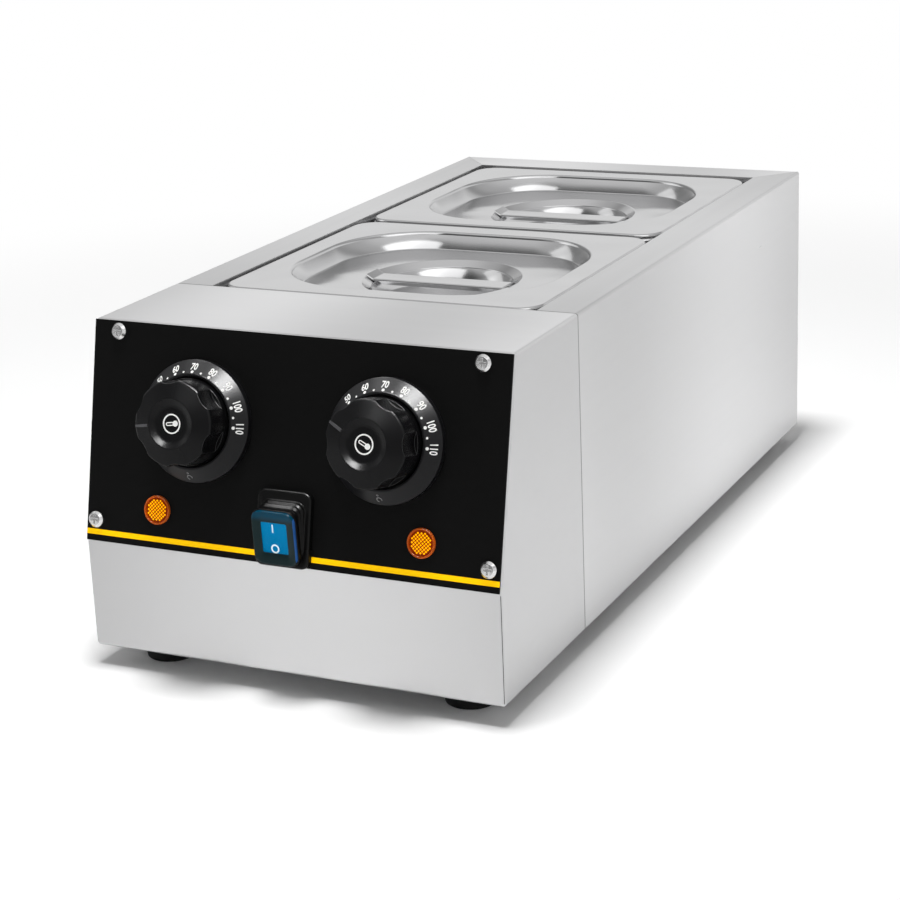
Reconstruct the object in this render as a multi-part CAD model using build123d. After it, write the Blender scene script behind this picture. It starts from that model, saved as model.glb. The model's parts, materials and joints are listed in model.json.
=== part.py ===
"""Two-pan chocolate tempering machine: a folded steel casing with a sloped control panel,
two gastronorm pans with pressed lids hanging in heated wells, and the controls of each."""

import os
from math import cos, radians, sin

from build123d import *

# All sizes are in millimetres, and angles in degrees.

# Pans of the 1/6 gastronorm size
pan_length = 176.0          # across the machine
pan_width = 162.0           # front to back
pan_depth = 100.0
pan_sheet = 0.7
pan_rim_corner = 14.0
pan_rim_width = 10.0        # rim's flat land
pan_rim_height = 3.0        # rim with its turned-down edge
pan_mouth_corner = 28.0
pan_draft = 5.0             # how far the wall leans in over its depth
pan_floor_radius = 12.0
pan_side_gap = 1.0          # pan to casing, left and right
pan_end_gap = 1.5           # pan to casing, and half the gap between the pans

# Lids
lid_sheet = 0.8
lid_inset = 1.0             # how much smaller than the pan's rim, all round
lid_lip = 2.2               # height of the turned-down edge
lid_corner = 13.0
lid_edge_radius = 1.4
lid_drop = 0.6              # lid's top below the casing's top
dish_side_land = 14.0       # flat flange beside the dish, left and right
dish_end_land = 15.0        # flat flange in front of the dish and behind it
dish_corner = 48.0
dish_depth = 9.0
dish_slope = 4.0            # how far the dish wall leans in
dish_top_radius = 1.8
dish_floor_radius = 2.6
pit_radius = 42.0
pit_bevel_width = 5.0
pit_bevel_depth = 2.9
pit_wall_depth = 8.0
pit_wall_slope = 2.0
pit_floor_radius = 2.5
handle_width = 14.0
handle_sheet = 1.0
handle_curl = 1.6           # height of the strap's folded edges
handle_tab_gap = 0.75       # strap's tab over the middle of the pit's bevel
weld_radius = 1.6
weld_spacing = 7.0

# Casing
sheet = 1.0
bend_radius = 1.6
floor_space = 52.0          # casing's height beyond the wells' depth
foot_height = 10.0          # feet showing under the casing
front_strip = 73.0          # top surface in front of the pans
back_strip = 24.5
side_strip = 21.0
ledge_width = 5.0           # folded ledge that carries the wells
bottom_flange = 12.0
front_bottom_flange = 7.0
seam_gap = 0.2
mitre_gap = 0.15
joggle_width = 10.0         # tab that laps behind the front housing's cheek
joggle_inset = 12.0
rear_tab_width = 10.0
rear_tab_height = 120.0
panel_clearance = 0.3       # between parts that are screwed together inside the casing
cover_clearance = 0.8       # base plate to the casing's inside bends

# Sloped control panel
fascia_tilt = 13.1          # lean from vertical
fascia_sheet = 0.8
fascia_inset = 0.5          # black plate in from the sloped panel's sides
fascia_top_inset = 0.3
fascia_bottom_inset = 0.1
control_edge = 60.0         # dials' centres from the sides
dial_drop = 44.3            # from the top edge, down the slope
dial_to_lamp = 44.5         # down the slope
lamp_edge = 40.0            # lamps' centres from the sides
lamp_rise = 18.7            # over the panel's lower edge
switch_rise = 17.7
screw_edge_top = 14.5       # fascia screws from the sides
screw_edge_bottom = 6.0
screw_top_drop = 5.3
screw_bottom_rise = 10.6

# Dials
dial_radius = 29.1
dial_bore = 21.4
dial_height = 7.9
dial_rim = 2.9
dial_floor = 1.6
dial_land = 1.2

# Knobs
knob_radius = 20.5
knob_base_gap = 0.5         # over the dial's floor
knob_skirt_height = 8.6
knob_edge_height = 23.2     # face's edge over the panel
knob_crown_height = 25.6
knob_edge_radius = 1.2
knob_recess_radius = 11.7
knob_recess_depth = 1.6
knob_bowl_radius = 8.4      # recess's flat floor before its rounded edge
knob_bowl_edge = 4.5
knob_wall = 2.2
knob_relief = 2.6           # hollow over the heads of the dial's screws
knob_roof_fall = 1.5        # hollow's roof, from the hub out
knob_hub_radius = 5.2
knob_grooves = 6
knob_groove_depth = 1.8
knob_groove_radius = 12.4
pointer_width = 1.1
pointer_height = 0.6
left_pointer = -98.0        # clockwise from the top, at rest
right_pointer = -64.4

# Thermostats
spindle_radius = 3.0
spindle_flat = 2.2          # axis to the flat
spindle_fit = 0.06          # radial running clearance
spindle_reach = 20.0        # over the panel
spindle_depth = 11.0        # behind the panel
bushing_radius = 5.0
bushing_height = 1.7
thermostat_plate = (44.0, 22.0, 1.2)
thermostat_body = (36.0, 34.0, 22.0)
thermostat_screw_spacing = 28.0
blade = (6.3, 0.8, 8.0)
capillary_radius = 0.9
capillary_drop = 16.0       # from the thermostat to the tube's first bend
capillary_lead = 32.0       # tube's second bend in front of the wells
capillary_bend = 8.0
bulb_radius = 3.0
bulb_length = 75.0
bulb_height = 75.0
clip_sheet = 0.8
clip_width = 8.0
clip_ear = 6.0

# Lamps
lamp_radius = 7.0
lamp_lens_radius = 5.1
lamp_height = 1.4
lamp_groove_width = 0.6
lamp_groove_depth = 0.8
lamp_hole = 5.2
lamp_body_radius = 4.9
lamp_depth = 24.0
lamp_nut_flats = 14.0
lamp_nut_height = 3.5

# Rocker switch
boot_width = 28.4
boot_length = 36.0
boot_flange = 3.4
boot_corner = 4.0
boot_edge_radius = 1.1
boot_rim = 1.6              # wall of the flange round the bezel
boot_wall = 1.2
boot_folds = (              # height over the pivot, and size over the window's
    (5.3, 0.8), (6.6, 0.0), (7.4, -1.6), (8.2, 0.2), (9.2, -1.2), (10.4, 1.2), (12.9, 1.2),
)
window_width = 22.4
window_length = 26.3
window_corner = 4.6
window_edge_radius = 0.5
window_front = 14.2         # over the pivot, square to the rocker
window_back = 11.7
window_frame = (20.8, 25.3)
window_frame_corner = 4.1
window_pane = (13.6, 15.3)
window_pane_corner = 0.8
window_recess = 0.6
window_sheet = 0.6
rocker_width = 14.4
rocker_length = 16.2
rocker_belly = 1.5          # how far its ends swell under the window
rocker_gap = 0.2            # under the window's pane
rocker_tilt = 16.0          # each way from the middle
pivot_depth = 1.6           # under the panel's sheet
pivot_radius = 2.0
switch_cutout = (22.0, 29.0)
switch_bezel = (24.8, 31.0, 1.85)
switch_blade_offset = (4.0, 8.0)
switch_well = (16.4, 25.0)
switch_depth = 22.0
switch_floor = 8.0

# Wells and heaters
well_sheet = 0.8
well_gap = 0.5
well_corner = 2.0
well_mouth_gap = 2.0        # round the pan's body
well_air = 10.35            # under the pan's floor
well_floor_radius = 8.0
seat_gap = 0.05             # pan on its well, lid on its pan
rail_width = 13.0
rail_height = 12.0
heater_inset = 46.0         # heater plate's size under the pan's rim size
heater_sheet = 3.0
heater_tube_radius = 3.25
heater_half_span = 35.0
heater_bend = 30.0
heater_end_gap = 12.0       # tube's bend from the plate's rear edge
heater_tail = 10.0          # tube's ends past the plate's front edge
insulation_height = 6.0
stud_radius = 2.5
stud_offset = 35.0
clamp_width = 24.0
clamp_inset = 4.0           # clamp bar's length under the heater plate's
clamp_sheet = 2.0
stud_tail = 2.0
nut_flats = 8.0
nut_height = 4.0

# Bottom, feet and inlet
foot_radius = 14.0
foot_taper = 1.5
foot_side_margin = 2.0      # feet to the side flanges
foot_front_margin = 3.4     # front feet to the front flange
foot_rear_margin = 17.0     # rear feet to the rear flange
foot_recess_radius = 6.0
foot_floor = 4.0
vent_length = 60.0
vent_width = 4.0
vent_pitch = 12.0
vent_count = 9
gland_edge = 40.0           # gland's centre from the left side
gland_rise = 34.0           # over the casing's bottom
gland_thread_radius = 8.0
gland_bore = 4.0
gland_flats = 20.0
gland_hex_height = 5.0
gland_dome_radius = 9.0
gland_dome_height = 13.0
gland_nut_flats = 22.0
gland_nut_height = 4.5
terminal_block_size = (44.0, 22.0, 20.0)
terminal_margin = 2.0       # terminal block to the rear flange
terminal_bore = 2.2

# Fasteners
screw_head_radius = 4.0
screw_head_height = 2.8
screw_radius = 2.0
screw_length = 8.0
recess_size = (4.2, 1.0, 1.5)  # cross recess in a screw's head
screw_hole = 2.15

# Levels and places worked out from the sizes above
well_depth = pan_depth + pan_sheet + well_air - pan_rim_height - seat_gap
body_height = well_depth + floor_space
z_bottom = foot_height
z_top = foot_height + body_height
opening_width = pan_length + 2 * pan_side_gap
opening_depth = 2 * (pan_width + 2 * pan_end_gap)
body_width = opening_width + 2 * side_strip
half_width = body_width / 2
half_opening = opening_width / 2
y_seam = front_strip
y_opening_back = front_strip + opening_depth
y_back = y_opening_back + back_strip
lid_top = z_top - lid_drop
rim_top = lid_top - lid_lip - seat_gap
well_top = rim_top - pan_rim_height - seat_gap
ledge_top = well_top - well_sheet
pan_centres = [front_strip + opening_depth * share for share in (0.25, 0.75)]
fascia_length = dial_drop + dial_to_lamp + lamp_rise
lamp_drop = fascia_length - lamp_rise
switch_drop = fascia_length - switch_rise
control_x = half_width - control_edge
lamp_x = half_width - lamp_edge
gland_x = gland_edge - half_width
knee_out = fascia_length * sin(radians(fascia_tilt))
z_knee = z_top - fascia_length * cos(radians(fascia_tilt))
half_cut = half_width - sheet
dial_floor_top = fascia_sheet + dial_floor
well_floor_bottom = well_top - well_depth - well_sheet
dish_length = pan_length - 2 * (lid_inset + dish_side_land)
dish_width = pan_width - 2 * (lid_inset + dish_end_land)
heater_plate = (pan_length - heater_inset, pan_width - heater_inset, heater_sheet)
clamp_bar = (clamp_width, heater_plate[1] - clamp_inset, clamp_sheet)

# Frame of the sloped panel: x to the right, y up the slope, z out of the panel's sheet
outward = Vector(0, -cos(radians(fascia_tilt)), sin(radians(fascia_tilt)))
fascia = Plane(origin=(0, 0, z_top), x_dir=(1, 0, 0), z_dir=outward).location


def outline(*corners):
    """Flat face through corners given as (x, y), or (x, y, radius) where rounded."""
    points = [corner[:2] for corner in corners]
    radii = [corner[2] if len(corner) > 2 else 0 for corner in corners]
    return make_face(FilletPolyline(*points, radius=radii, close=True))


def turned(*corners):
    """Solid of revolution about Z from corners given as (radius, height)."""
    return revolve(Plane.XZ * outline(*corners), Axis.Z)


def block(x0, x1, y0, y1, z0, z1):
    """Box between two corners."""
    return Pos(x0, y0, z0) * Box(x1 - x0, y1 - y0, z1 - z0, align=(Align.MIN,) * 3)


def prism(face, z0, z1):
    """Flat face in XY carried from one height to another."""
    return extrude(Pos(0, 0, z0) * face, z1 - z0)


def hexagon(flats, z0, z1):
    """Hexagonal prism by its width across flats."""
    return prism(RegularPolygon(flats / 2, 6, major_radius=False), z0, z1)


def sheet_section(corners, thickness):
    """Section of a bent sheet: one side follows the corners, the sheet lies to their left."""
    points = [Vector(*corner[:2]) for corner in corners]
    radii = [corner[2] if len(corner) > 2 else 0 for corner in corners]
    ways = [(b - a).normalized() for a, b in zip(points, points[1:])]
    sides = [Vector(-way.Y, way.X) for way in ways]
    far, far_radii = [], []
    for i, point in enumerate(points):
        before, after = sides[max(i - 1, 0)], sides[min(i, len(sides) - 1)]
        far.append(point + (before + after) * (thickness / (1 + before.dot(after))))
        turn = before.X * after.Y - before.Y * after.X
        bent = radii[i] - thickness if turn > 0 else radii[i] + thickness
        far_radii.append(max(bent, 0) if radii[i] else 0)
    near = [(p.X, p.Y, r) for p, r in zip(points, radii)]
    back = [(p.X, p.Y, r) for p, r in zip(far, far_radii)]
    return outline(*near, *reversed(back))


def drawn_ring(section, length, width, corner):
    """A section in XZ, measured outwards from a rounded rectangle, carried round it."""
    ring = None
    for k in range(4):
        along, across = (length / 2, width / 2) if k % 2 == 0 else (width / 2, length / 2)
        side = Pos(along, corner - across, 0) * section
        run = extrude(side, across * 2 - corner * 2, dir=(0, 1, 0))
        bend = Pos(along - corner, across - corner, 0) * revolve(
            Pos(corner, 0, 0) * section, Axis.Z, 90
        )
        piece = Rot(0, 0, 90 * k) * (run + bend)
        ring = piece if ring is None else ring + piece
    return ring


def rounded_plate(length, width, corner, z0, z1):
    """Flat plate with rounded corners."""
    return prism(RectangleRounded(length, width, corner), z0, z1)


def pan_head_screw(length=screw_length):
    """Cross-recessed pan-head screw, its head's seat at z = 0."""
    head = turned((0, 0), (screw_head_radius, 0), (screw_head_radius, screw_head_height * 0.45),
                  (screw_head_radius * 0.72, screw_head_height * 0.9), (0, screw_head_height))
    slot = Pos(0, 0, screw_head_height) * Box(recess_size[0], recess_size[1], 2 * recess_size[2])
    shank = Pos(0, 0, -length) * Cylinder(screw_radius, length, align=(Align.CENTER,) * 2 + (Align.MIN,))
    return head - slot - Rot(0, 0, 90) * slot + shank


def group(*solids):
    """Separate solids kept in one node."""
    return Compound([solid for piece in solids for solid in piece.solids()])


def on_panel(x, drop, rise=0.0):
    """Place on the sloped panel: across, down from its top edge and out of its sheet."""
    return fascia * Pos(x, -drop, rise)


fascia_screw_places = [
    (side * (half_width - edge), drop)
    for edge, drop in (
        (screw_edge_top, screw_top_drop),
        (screw_edge_bottom, fascia_length - screw_bottom_rise),
    )
    for side in (-1, 1)
]
hands = {"left": -1, "right": 1}


back_screw_x = half_cut - rear_tab_width / 2
back_screw_places = [
    (side * back_screw_x, z_bottom + joggle_inset + rear_tab_height * share)
    for side in (-1, 1)
    for share in (0.12, 0.5, 0.88)
]
base_screw_places = [
    (side * (half_width - bottom_flange / 2), y_seam + (y_back - y_seam) * share)
    for side in (-1, 1)
    for share in (0.12, 0.5, 0.88)
]


# Casing

def panel_holes(bushing, lamp, switch, screws):
    """Cutters for everything that passes through the sloped panel."""
    reach = 12 * sheet
    cutters = []
    for side in hands.values():
        x = side * control_x
        cutters.append(on_panel(x, dial_drop) * Cylinder(bushing, reach))
        for end in (-1, 1):
            shift = x + end * thermostat_screw_spacing / 2
            cutters.append(on_panel(shift, dial_drop) * Cylinder(screw_hole, reach))
        cutters.append(on_panel(side * lamp_x, lamp_drop) * Cylinder(lamp, reach))
    cutters.append(on_panel(0, switch_drop) * Box(switch[0], switch[1], reach))
    for x, drop in fascia_screw_places:
        cutters.append(on_panel(x, drop) * Cylinder(screws, reach))
    return cutters


def make_front_housing():
    """Front shell: top strip, sloped panel, lower panel and cheeks, open at the back."""
    side_view = [(y_seam, z_top), (0, z_top), (-knee_out, z_knee), (-knee_out, z_bottom)]
    corner = (y_seam, z_bottom)
    solid = extrude(Plane.YZ * outline(*side_view, corner), half_width, both=True)
    front_edges = solid.edges().filter_by(lambda e: e.center().Y < y_seam - 0.01)
    knee = front_edges.filter_by(
        lambda e: abs(e.center().Z - z_knee) < 0.01 and abs(e.center().X) < 1
    )
    solid = fillet(front_edges - knee, bend_radius)
    hollow = offset(outline(*side_view, corner), -sheet, kind=Kind.INTERSECTION)
    solid -= extrude(Plane.YZ * hollow, half_cut, both=True)
    solid -= block(-half_cut, half_cut, y_seam - 3 * sheet, y_seam + sheet,
                   z_bottom + sheet, z_top - sheet)
    solid -= block(bottom_flange - half_width, half_width - bottom_flange,
                   front_bottom_flange - knee_out, y_seam + sheet,
                   z_bottom - sheet, z_bottom + 2 * sheet)
    fold = [(y_seam, z_top - sheet), (y_seam, ledge_top), (y_seam + ledge_width, ledge_top)]
    ledge = Plane.YZ * sheet_section(list(reversed(fold)), sheet)
    reach = half_opening - ledge_width - panel_clearance
    solid += extrude(ledge, reach, both=True)
    for cutter in panel_holes(bushing_radius + panel_clearance, lamp_hole, switch_cutout,
                              screw_hole):
        solid -= cutter
    return solid


def make_side_panel(side):
    """Side wall with its folded top strip, well ledge and bottom flange."""
    fold = [
        (half_width - bottom_flange, z_bottom),
        (half_width, z_bottom, bend_radius),
        (half_width, z_top, bend_radius),
        (half_opening, z_top),
        (half_opening, ledge_top),
        (half_opening - ledge_width, ledge_top),
    ]
    y_start = y_seam + seam_gap
    panel = extrude(Pos(0, y_start, 0) * (Plane.XZ * sheet_section(fold, sheet)),
                    y_back - y_start, dir=(0, 1, 0))
    inner = half_opening - 2 * ledge_width
    mitre = outline(
        (inner, y_opening_back - mitre_gap), (half_opening, y_opening_back - mitre_gap),
        (half_cut, y_back - sheet - mitre_gap), (half_cut, y_back + sheet),
        (inner, y_back + sheet),
    )
    panel -= prism(mitre, ledge_top - 2 * sheet, z_top + sheet)
    panel -= block(inner, half_cut, y_back - sheet - mitre_gap, y_back + sheet,
                   z_bottom - sheet, z_bottom + 2 * sheet)
    for x, y in base_screw_places:
        if x > 0:
            panel -= Pos(x, y, z_bottom) * Cylinder(screw_hole, 8 * sheet)
    panel += block(half_cut - sheet, half_cut, y_seam - joggle_width,
                   y_seam + joggle_width, z_bottom + joggle_inset, z_top - joggle_inset)
    tab_bottom = z_bottom + joggle_inset
    panel += block(half_cut - rear_tab_width, half_cut, y_back - 2 * sheet, y_back - sheet,
                   tab_bottom, tab_bottom + rear_tab_height)
    for x, z in back_screw_places:
        if x > 0:
            panel -= Pos(x, y_back, z) * Rot(90, 0, 0) * Cylinder(screw_hole, 8 * sheet)
    return panel if side > 0 else mirror(panel, Plane.YZ)


def make_back_panel():
    """Rear wall with its folded top strip, mitred at both ends, and well ledge."""
    fold = [
        (y_back - bottom_flange, z_bottom),
        (y_back, z_bottom, bend_radius),
        (y_back, z_top, bend_radius),
        (y_opening_back, z_top),
        (y_opening_back, ledge_top),
        (y_opening_back - ledge_width, ledge_top),
    ]
    wall = half_cut - mitre_gap
    panel = extrude(Plane.YZ * sheet_section(fold, sheet), wall, both=True)
    for side in (-1, 1):
        inner = half_opening - ledge_width - panel_clearance
        waste = outline(
            (side * (half_cut + sheet), y_back - sheet), (side * half_cut, y_back - sheet),
            (side * half_opening, y_opening_back), (side * inner, y_opening_back),
            (side * inner, y_opening_back - 2 * ledge_width),
            (side * (half_cut + sheet), y_opening_back - 2 * ledge_width),
        )
        panel -= prism(waste, ledge_top - 2 * sheet, z_top + sheet)
        edge = half_width - bottom_flange - panel_clearance
        x0, x1 = sorted((side * edge, side * (half_cut + sheet)))
        panel -= block(x0, x1, y_back - 2 * bottom_flange, y_back - sheet,
                       z_bottom - sheet, z_bottom + 2 * sheet)
    for x, z in back_screw_places:
        panel -= Pos(x, y_back, z) * Rot(90, 0, 0) * Cylinder(screw_hole, 8 * sheet)
    hole = Rot(90, 0, 0) * Cylinder(gland_thread_radius + panel_clearance, 8 * sheet)
    return panel - Pos(gland_x, y_back, z_bottom + gland_rise) * hole


foot_x = half_width - bottom_flange - foot_radius - foot_side_margin
foot_front_y = front_bottom_flange - knee_out + foot_radius + foot_front_margin
foot_rear_y = y_back - bottom_flange - foot_radius - foot_rear_margin
foot_places = {
    f"foot_{end}_{name}": (side * foot_x, y)
    for end, y in (("front", foot_front_y), ("rear", foot_rear_y))
    for name, side in hands.items()
}
plate_z0 = z_bottom + sheet
plate_z1 = plate_z0 + sheet


def make_base_plate():
    """Bottom cover on the casing's flanges, with two rows of vent slots."""
    plate = block(-half_cut + cover_clearance, half_cut - cover_clearance,
                  sheet + cover_clearance - knee_out, y_back - sheet - cover_clearance,
                  plate_z0, plate_z1)
    slot = prism(Rot(0, 0, 90) * SlotOverall(vent_length, vent_width), plate_z0 - sheet,
                 plate_z1 + sheet)
    for y in pan_centres:
        for k in range(vent_count):
            plate -= Pos((k - (vent_count - 1) / 2) * vent_pitch, y, 0) * slot
    hole = Cylinder(screw_hole, 8 * sheet)
    for x, y in base_screw_places:
        plate -= Pos(x, y, plate_z0) * hole
    for x, y in foot_places.values():
        plate -= Pos(x, y, plate_z0) * Cylinder(stud_radius + panel_clearance, 8 * sheet)
    return plate


def make_fascia_plate():
    """Black plate that covers the sloped panel."""
    length = fascia_length - fascia_top_inset - fascia_bottom_inset
    middle = fascia_top_inset + length / 2
    plate = on_panel(0, middle, fascia_sheet / 2) * Box(
        body_width - 2 * fascia_inset, length, fascia_sheet
    )
    for cutter in panel_holes(bushing_radius + panel_clearance, lamp_hole, switch_cutout,
                              screw_hole):
        plate -= cutter
    return plate


# Controls

def make_dial(side):
    """Conical bezel ring with a flat floor under the knob."""
    ring = turned(
        (bushing_radius + 2 * panel_clearance, fascia_sheet),
        (dial_radius, fascia_sheet),
        (dial_radius, fascia_sheet + dial_rim, 0.5),
        (dial_bore + dial_land, fascia_sheet + dial_height, 0.8),
        (dial_bore, fascia_sheet + dial_height, 0.4),
        (dial_bore, dial_floor_top),
        (bushing_radius + 2 * panel_clearance, dial_floor_top),
    )
    for end in (-1, 1):
        hole = Cylinder(screw_hole, 4 * dial_floor_top)
        ring -= Pos(end * thermostat_screw_spacing / 2, 0, 0) * hole
    return on_panel(side * control_x, dial_drop) * ring


def make_knob(side, pointer):
    """Knob with finger grooves, a crowned face, a bowl in its middle and a raised pointer."""
    base = dial_floor_top + knob_base_gap
    ledge = base + knob_skirt_height
    face_floor = knob_crown_height - knob_recess_depth
    body = turned(
        (0, base + knob_relief),
        (0, face_floor),
        (knob_bowl_radius, face_floor, knob_bowl_edge),
        (knob_recess_radius, knob_crown_height, 0.5),
        (knob_radius, knob_edge_height, knob_edge_radius),
        (knob_radius, base),
        (knob_radius - knob_wall, base),
        (knob_radius - knob_wall, base + knob_relief),
    )
    groove_centre = knob_radius - knob_groove_depth + knob_groove_radius
    groove = prism(Circle(knob_groove_radius), ledge, knob_crown_height + 1)
    for k in range(knob_grooves):
        turn = Rot(0, 0, (k + 0.5) * 360 / knob_grooves)
        body -= turn * Pos(0, groove_centre, 0) * groove
    cavity = turned(
        (knob_hub_radius, base), (knob_hub_radius, face_floor - knob_wall),
        (knob_radius - 2 * knob_wall, face_floor - knob_wall - knob_roof_fall),
        (knob_radius - 2 * knob_wall, base),
    )
    body -= cavity
    fall = (knob_crown_height - knob_edge_height) / (knob_radius - knob_recess_radius)
    start, end = knob_recess_radius + 0.3, knob_radius - knob_edge_radius
    ridge = outline(
        (start, knob_crown_height - 1), (start, knob_crown_height + pointer_height / 2),
        (end, knob_crown_height - fall * (end - knob_recess_radius) + pointer_height),
        (end, knob_edge_height - 1),
    )
    body += extrude(Plane.YZ * ridge, pointer_width / 2, both=True)
    fit = spindle_fit / 2
    bore = Cylinder(spindle_radius + fit, 2 * (spindle_reach + fit))
    wide = 2 * spindle_radius
    flat = block(-wide, wide, spindle_flat + fit, wide, base - 1, spindle_reach + 1)
    body -= bore - flat
    return on_panel(side * control_x, dial_drop) * Rot(0, 0, -pointer) * body


def make_spindle(side, pointer):
    """Spindle from the thermostat, with a flat where the knob sits."""
    length = spindle_reach + spindle_depth
    rod = Pos(0, 0, spindle_reach - length / 2) * Cylinder(spindle_radius, length)
    wide = 2 * spindle_radius
    flat = block(-wide, wide, spindle_flat, wide, dial_floor_top, spindle_reach + 1)
    place = on_panel(side * control_x, dial_drop) * Rot(0, 0, -pointer)
    return place * (rod - flat)


def make_thermostat(side):
    """Capillary thermostat: fixing plate, bushing, body and three terminal blades."""
    x, y, thick = thermostat_plate
    body_x, body_y, depth = thermostat_body
    front = -sheet
    plate = Pos(0, 0, front - thick / 2) * Box(x, y, thick)
    collar = prism(Circle(bushing_radius), front - thick, bushing_height)
    body = Pos(0, 0, front - thick - depth / 2) * Box(body_x, body_y, depth)
    body = fillet(body.edges().filter_by(Axis.Z), 3)
    whole = plate + collar + body
    back = front - thick - depth
    for k in (-1, 0, 1):
        whole += Pos(k * body_x / 3, 0, back - blade[2] / 2) * Box(blade[1], blade[0], blade[2])
    whole -= Pos(0, 0, (bushing_height - spindle_depth) / 2) * Cylinder(
        spindle_radius + spindle_fit, bushing_height + spindle_depth + 1
    )
    for end in (-1, 1):
        hole = Cylinder(screw_radius, 2 * screw_length)
        whole -= Pos(end * thermostat_screw_spacing / 2, 0, 0) * hole
    return on_panel(side * control_x, dial_drop) * whole


def make_thermostat_screws():
    """Screws that hold each dial and its thermostat."""
    return group(*(
        on_panel(side * control_x + end * thermostat_screw_spacing / 2, dial_drop,
                 dial_floor_top) * pan_head_screw()
        for side in hands.values() for end in (-1, 1)
    ))


def well_outer(share):
    """Half the outer size of a well's body, across (0) or front to back (1)."""
    size = (pan_length, pan_width)[share]
    return size / 2 - pan_rim_width + well_mouth_gap + well_sheet


def make_capillary(side, pan_y):
    """Capillary tube from a thermostat to its bulb on the well's side wall."""
    body_y, depth = thermostat_body[1], thermostat_body[2]
    rise = -sheet - thermostat_plate[2] - depth / 2
    x, drop = side * control_x, dial_drop + body_y / 2
    start = on_panel(x, drop, rise).position
    turn = on_panel(x, drop + capillary_drop, rise).position
    lane = well_outer(0) + bulb_radius + seat_gap
    bulb_start = pan_y - bulb_length / 2
    route = [
        start,
        turn,
        (side * lane, y_seam - capillary_lead, bulb_height),
        (side * lane, bulb_start, bulb_height),
    ]
    path = FilletPolyline(*route, radius=capillary_bend)
    tube = sweep(Plane(origin=start, z_dir=turn - start) * Circle(capillary_radius), path=path)
    bulb = Pos(side * lane, pan_y, bulb_height) * Rot(90, 0, 0) * Cylinder(
        bulb_radius, bulb_length
    )
    return tube + bulb


def make_bulb_clips():
    """Saddle clips that hold the bulbs to the wells."""
    wall = well_outer(0)
    clips = []
    for side, pan_y in zip((1, -1), pan_centres):
        lane = wall + bulb_radius + seat_gap
        reach = bulb_radius + seat_gap
        saddle = Circle(reach + clip_sheet) - Circle(reach)
        saddle += Rectangle(reach, 2 * (reach + clip_sheet), align=(Align.MAX, Align.CENTER))
        saddle -= Rectangle(2 * reach, 2 * reach, align=(Align.MAX, Align.CENTER))
        saddle -= Circle(reach)
        for end in (-1, 1):
            ear_y = end * (reach + (clip_sheet + clip_ear) / 2)
            ear = Rectangle(clip_sheet, clip_sheet + clip_ear)
            saddle += Pos(clip_sheet / 2 - reach, ear_y) * ear
        clip = extrude(Plane.XZ * saddle, clip_width / 2, both=True)
        if side < 0:
            clip = mirror(clip, Plane.YZ)
        clips += [Pos(side * lane, pan_y + k * bulb_length / 3, bulb_height) * clip
                  for k in (-1, 1)]
    return group(*clips)


def make_lens(side):
    """Amber lens: an outer ring, a groove and a low dome."""
    top = fascia_sheet + lamp_height
    lens = turned(
        (0, fascia_sheet), (lamp_radius, fascia_sheet), (lamp_radius, top - 0.5, 0.4),
        (lamp_radius - 0.8, top, 0.3),
        (lamp_lens_radius + lamp_groove_width, top - lamp_groove_depth),
        (lamp_lens_radius, top - lamp_groove_depth), (lamp_lens_radius - 0.2, top - 0.35, 0.2),
        (lamp_lens_radius / 2, top - 0.2), (0, top - 0.15),
    )
    return on_panel(side * lamp_x, lamp_drop) * lens


def make_lamp(side):
    """Lamp body behind the lens, with two terminal blades."""
    length = lamp_depth + fascia_sheet
    body = Pos(0, 0, fascia_sheet - length / 2) * Cylinder(lamp_body_radius, length)
    for k in (-1, 1):
        body += Pos(k * lamp_body_radius / 2, 0, -lamp_depth - blade[2] / 2) * Box(
            blade[1], blade[0] * 0.75, blade[2]
        )
    return on_panel(side * lamp_x, lamp_drop) * body


def make_lamp_nuts():
    """Nuts that clamp the lamps to the panel."""
    nut = hexagon(lamp_nut_flats, -sheet - lamp_nut_height, -sheet)
    nut -= Cylinder(lamp_body_radius + seat_gap, 4 * (sheet + lamp_nut_height))
    return group(*(on_panel(s * lamp_x, lamp_drop) * nut for s in hands.values()))


# Rocker switch: the rocker's own frame has its origin on the pivot and z out of the rocker

pivot = on_panel(0, switch_drop, -pivot_depth)
rocker_rest = pivot * Rot(rocker_tilt, 0, 0)
pane_back = window_front - window_recess - window_sheet


def make_switch_body():
    """Switch housing with a bezel, a well for the rocker and four terminal blades."""
    bezel = prism(RectangleRounded(switch_bezel[0], switch_bezel[1], 2), fascia_sheet,
                  fascia_sheet + switch_bezel[2])
    size = [cut - 2 * panel_clearance for cut in switch_cutout]
    body = bezel + Pos(0, 0, (fascia_sheet - switch_depth) / 2) * Box(
        size[0], size[1], fascia_sheet + switch_depth
    )
    top = fascia_sheet + switch_bezel[2]
    body -= Pos(0, 0, (top - switch_floor) / 2) * Box(
        switch_well[0], switch_well[1], top + switch_floor + 0.001
    )
    body -= Pos(0, 0, -pivot_depth) * Rot(0, 90, 0) * Cylinder(
        pivot_radius + spindle_fit, size[0] + 1
    )
    across, along = switch_blade_offset
    for x in (-across, across):
        for y in (-along, along):
            body += Pos(x, y, -switch_depth - blade[2] / 2) * Box(blade[1], blade[0], blade[2])
    return on_panel(0, switch_drop) * body


def make_switch_rocker():
    """Blue rocker on its cross axle."""
    top = pane_back - rocker_gap
    end = rocker_length / 2
    shoulder, belly = window_back - rocker_belly, pivot_depth + pivot_radius
    side_view = outline(
        (-end, top), (end, top), (end, shoulder), (end + rocker_belly, belly),
        (end, -pivot_radius), (0, -2.5 * pivot_radius), (-end, -pivot_radius),
        (-end - rocker_belly, belly), (-end, shoulder),
    )
    rocker = extrude(Plane.YZ * side_view, rocker_width / 2, both=True)
    rocker += Rot(0, 90, 0) * Cylinder(pivot_radius, switch_cutout[0] - 2 * panel_clearance)
    return rocker_rest * rocker


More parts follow.
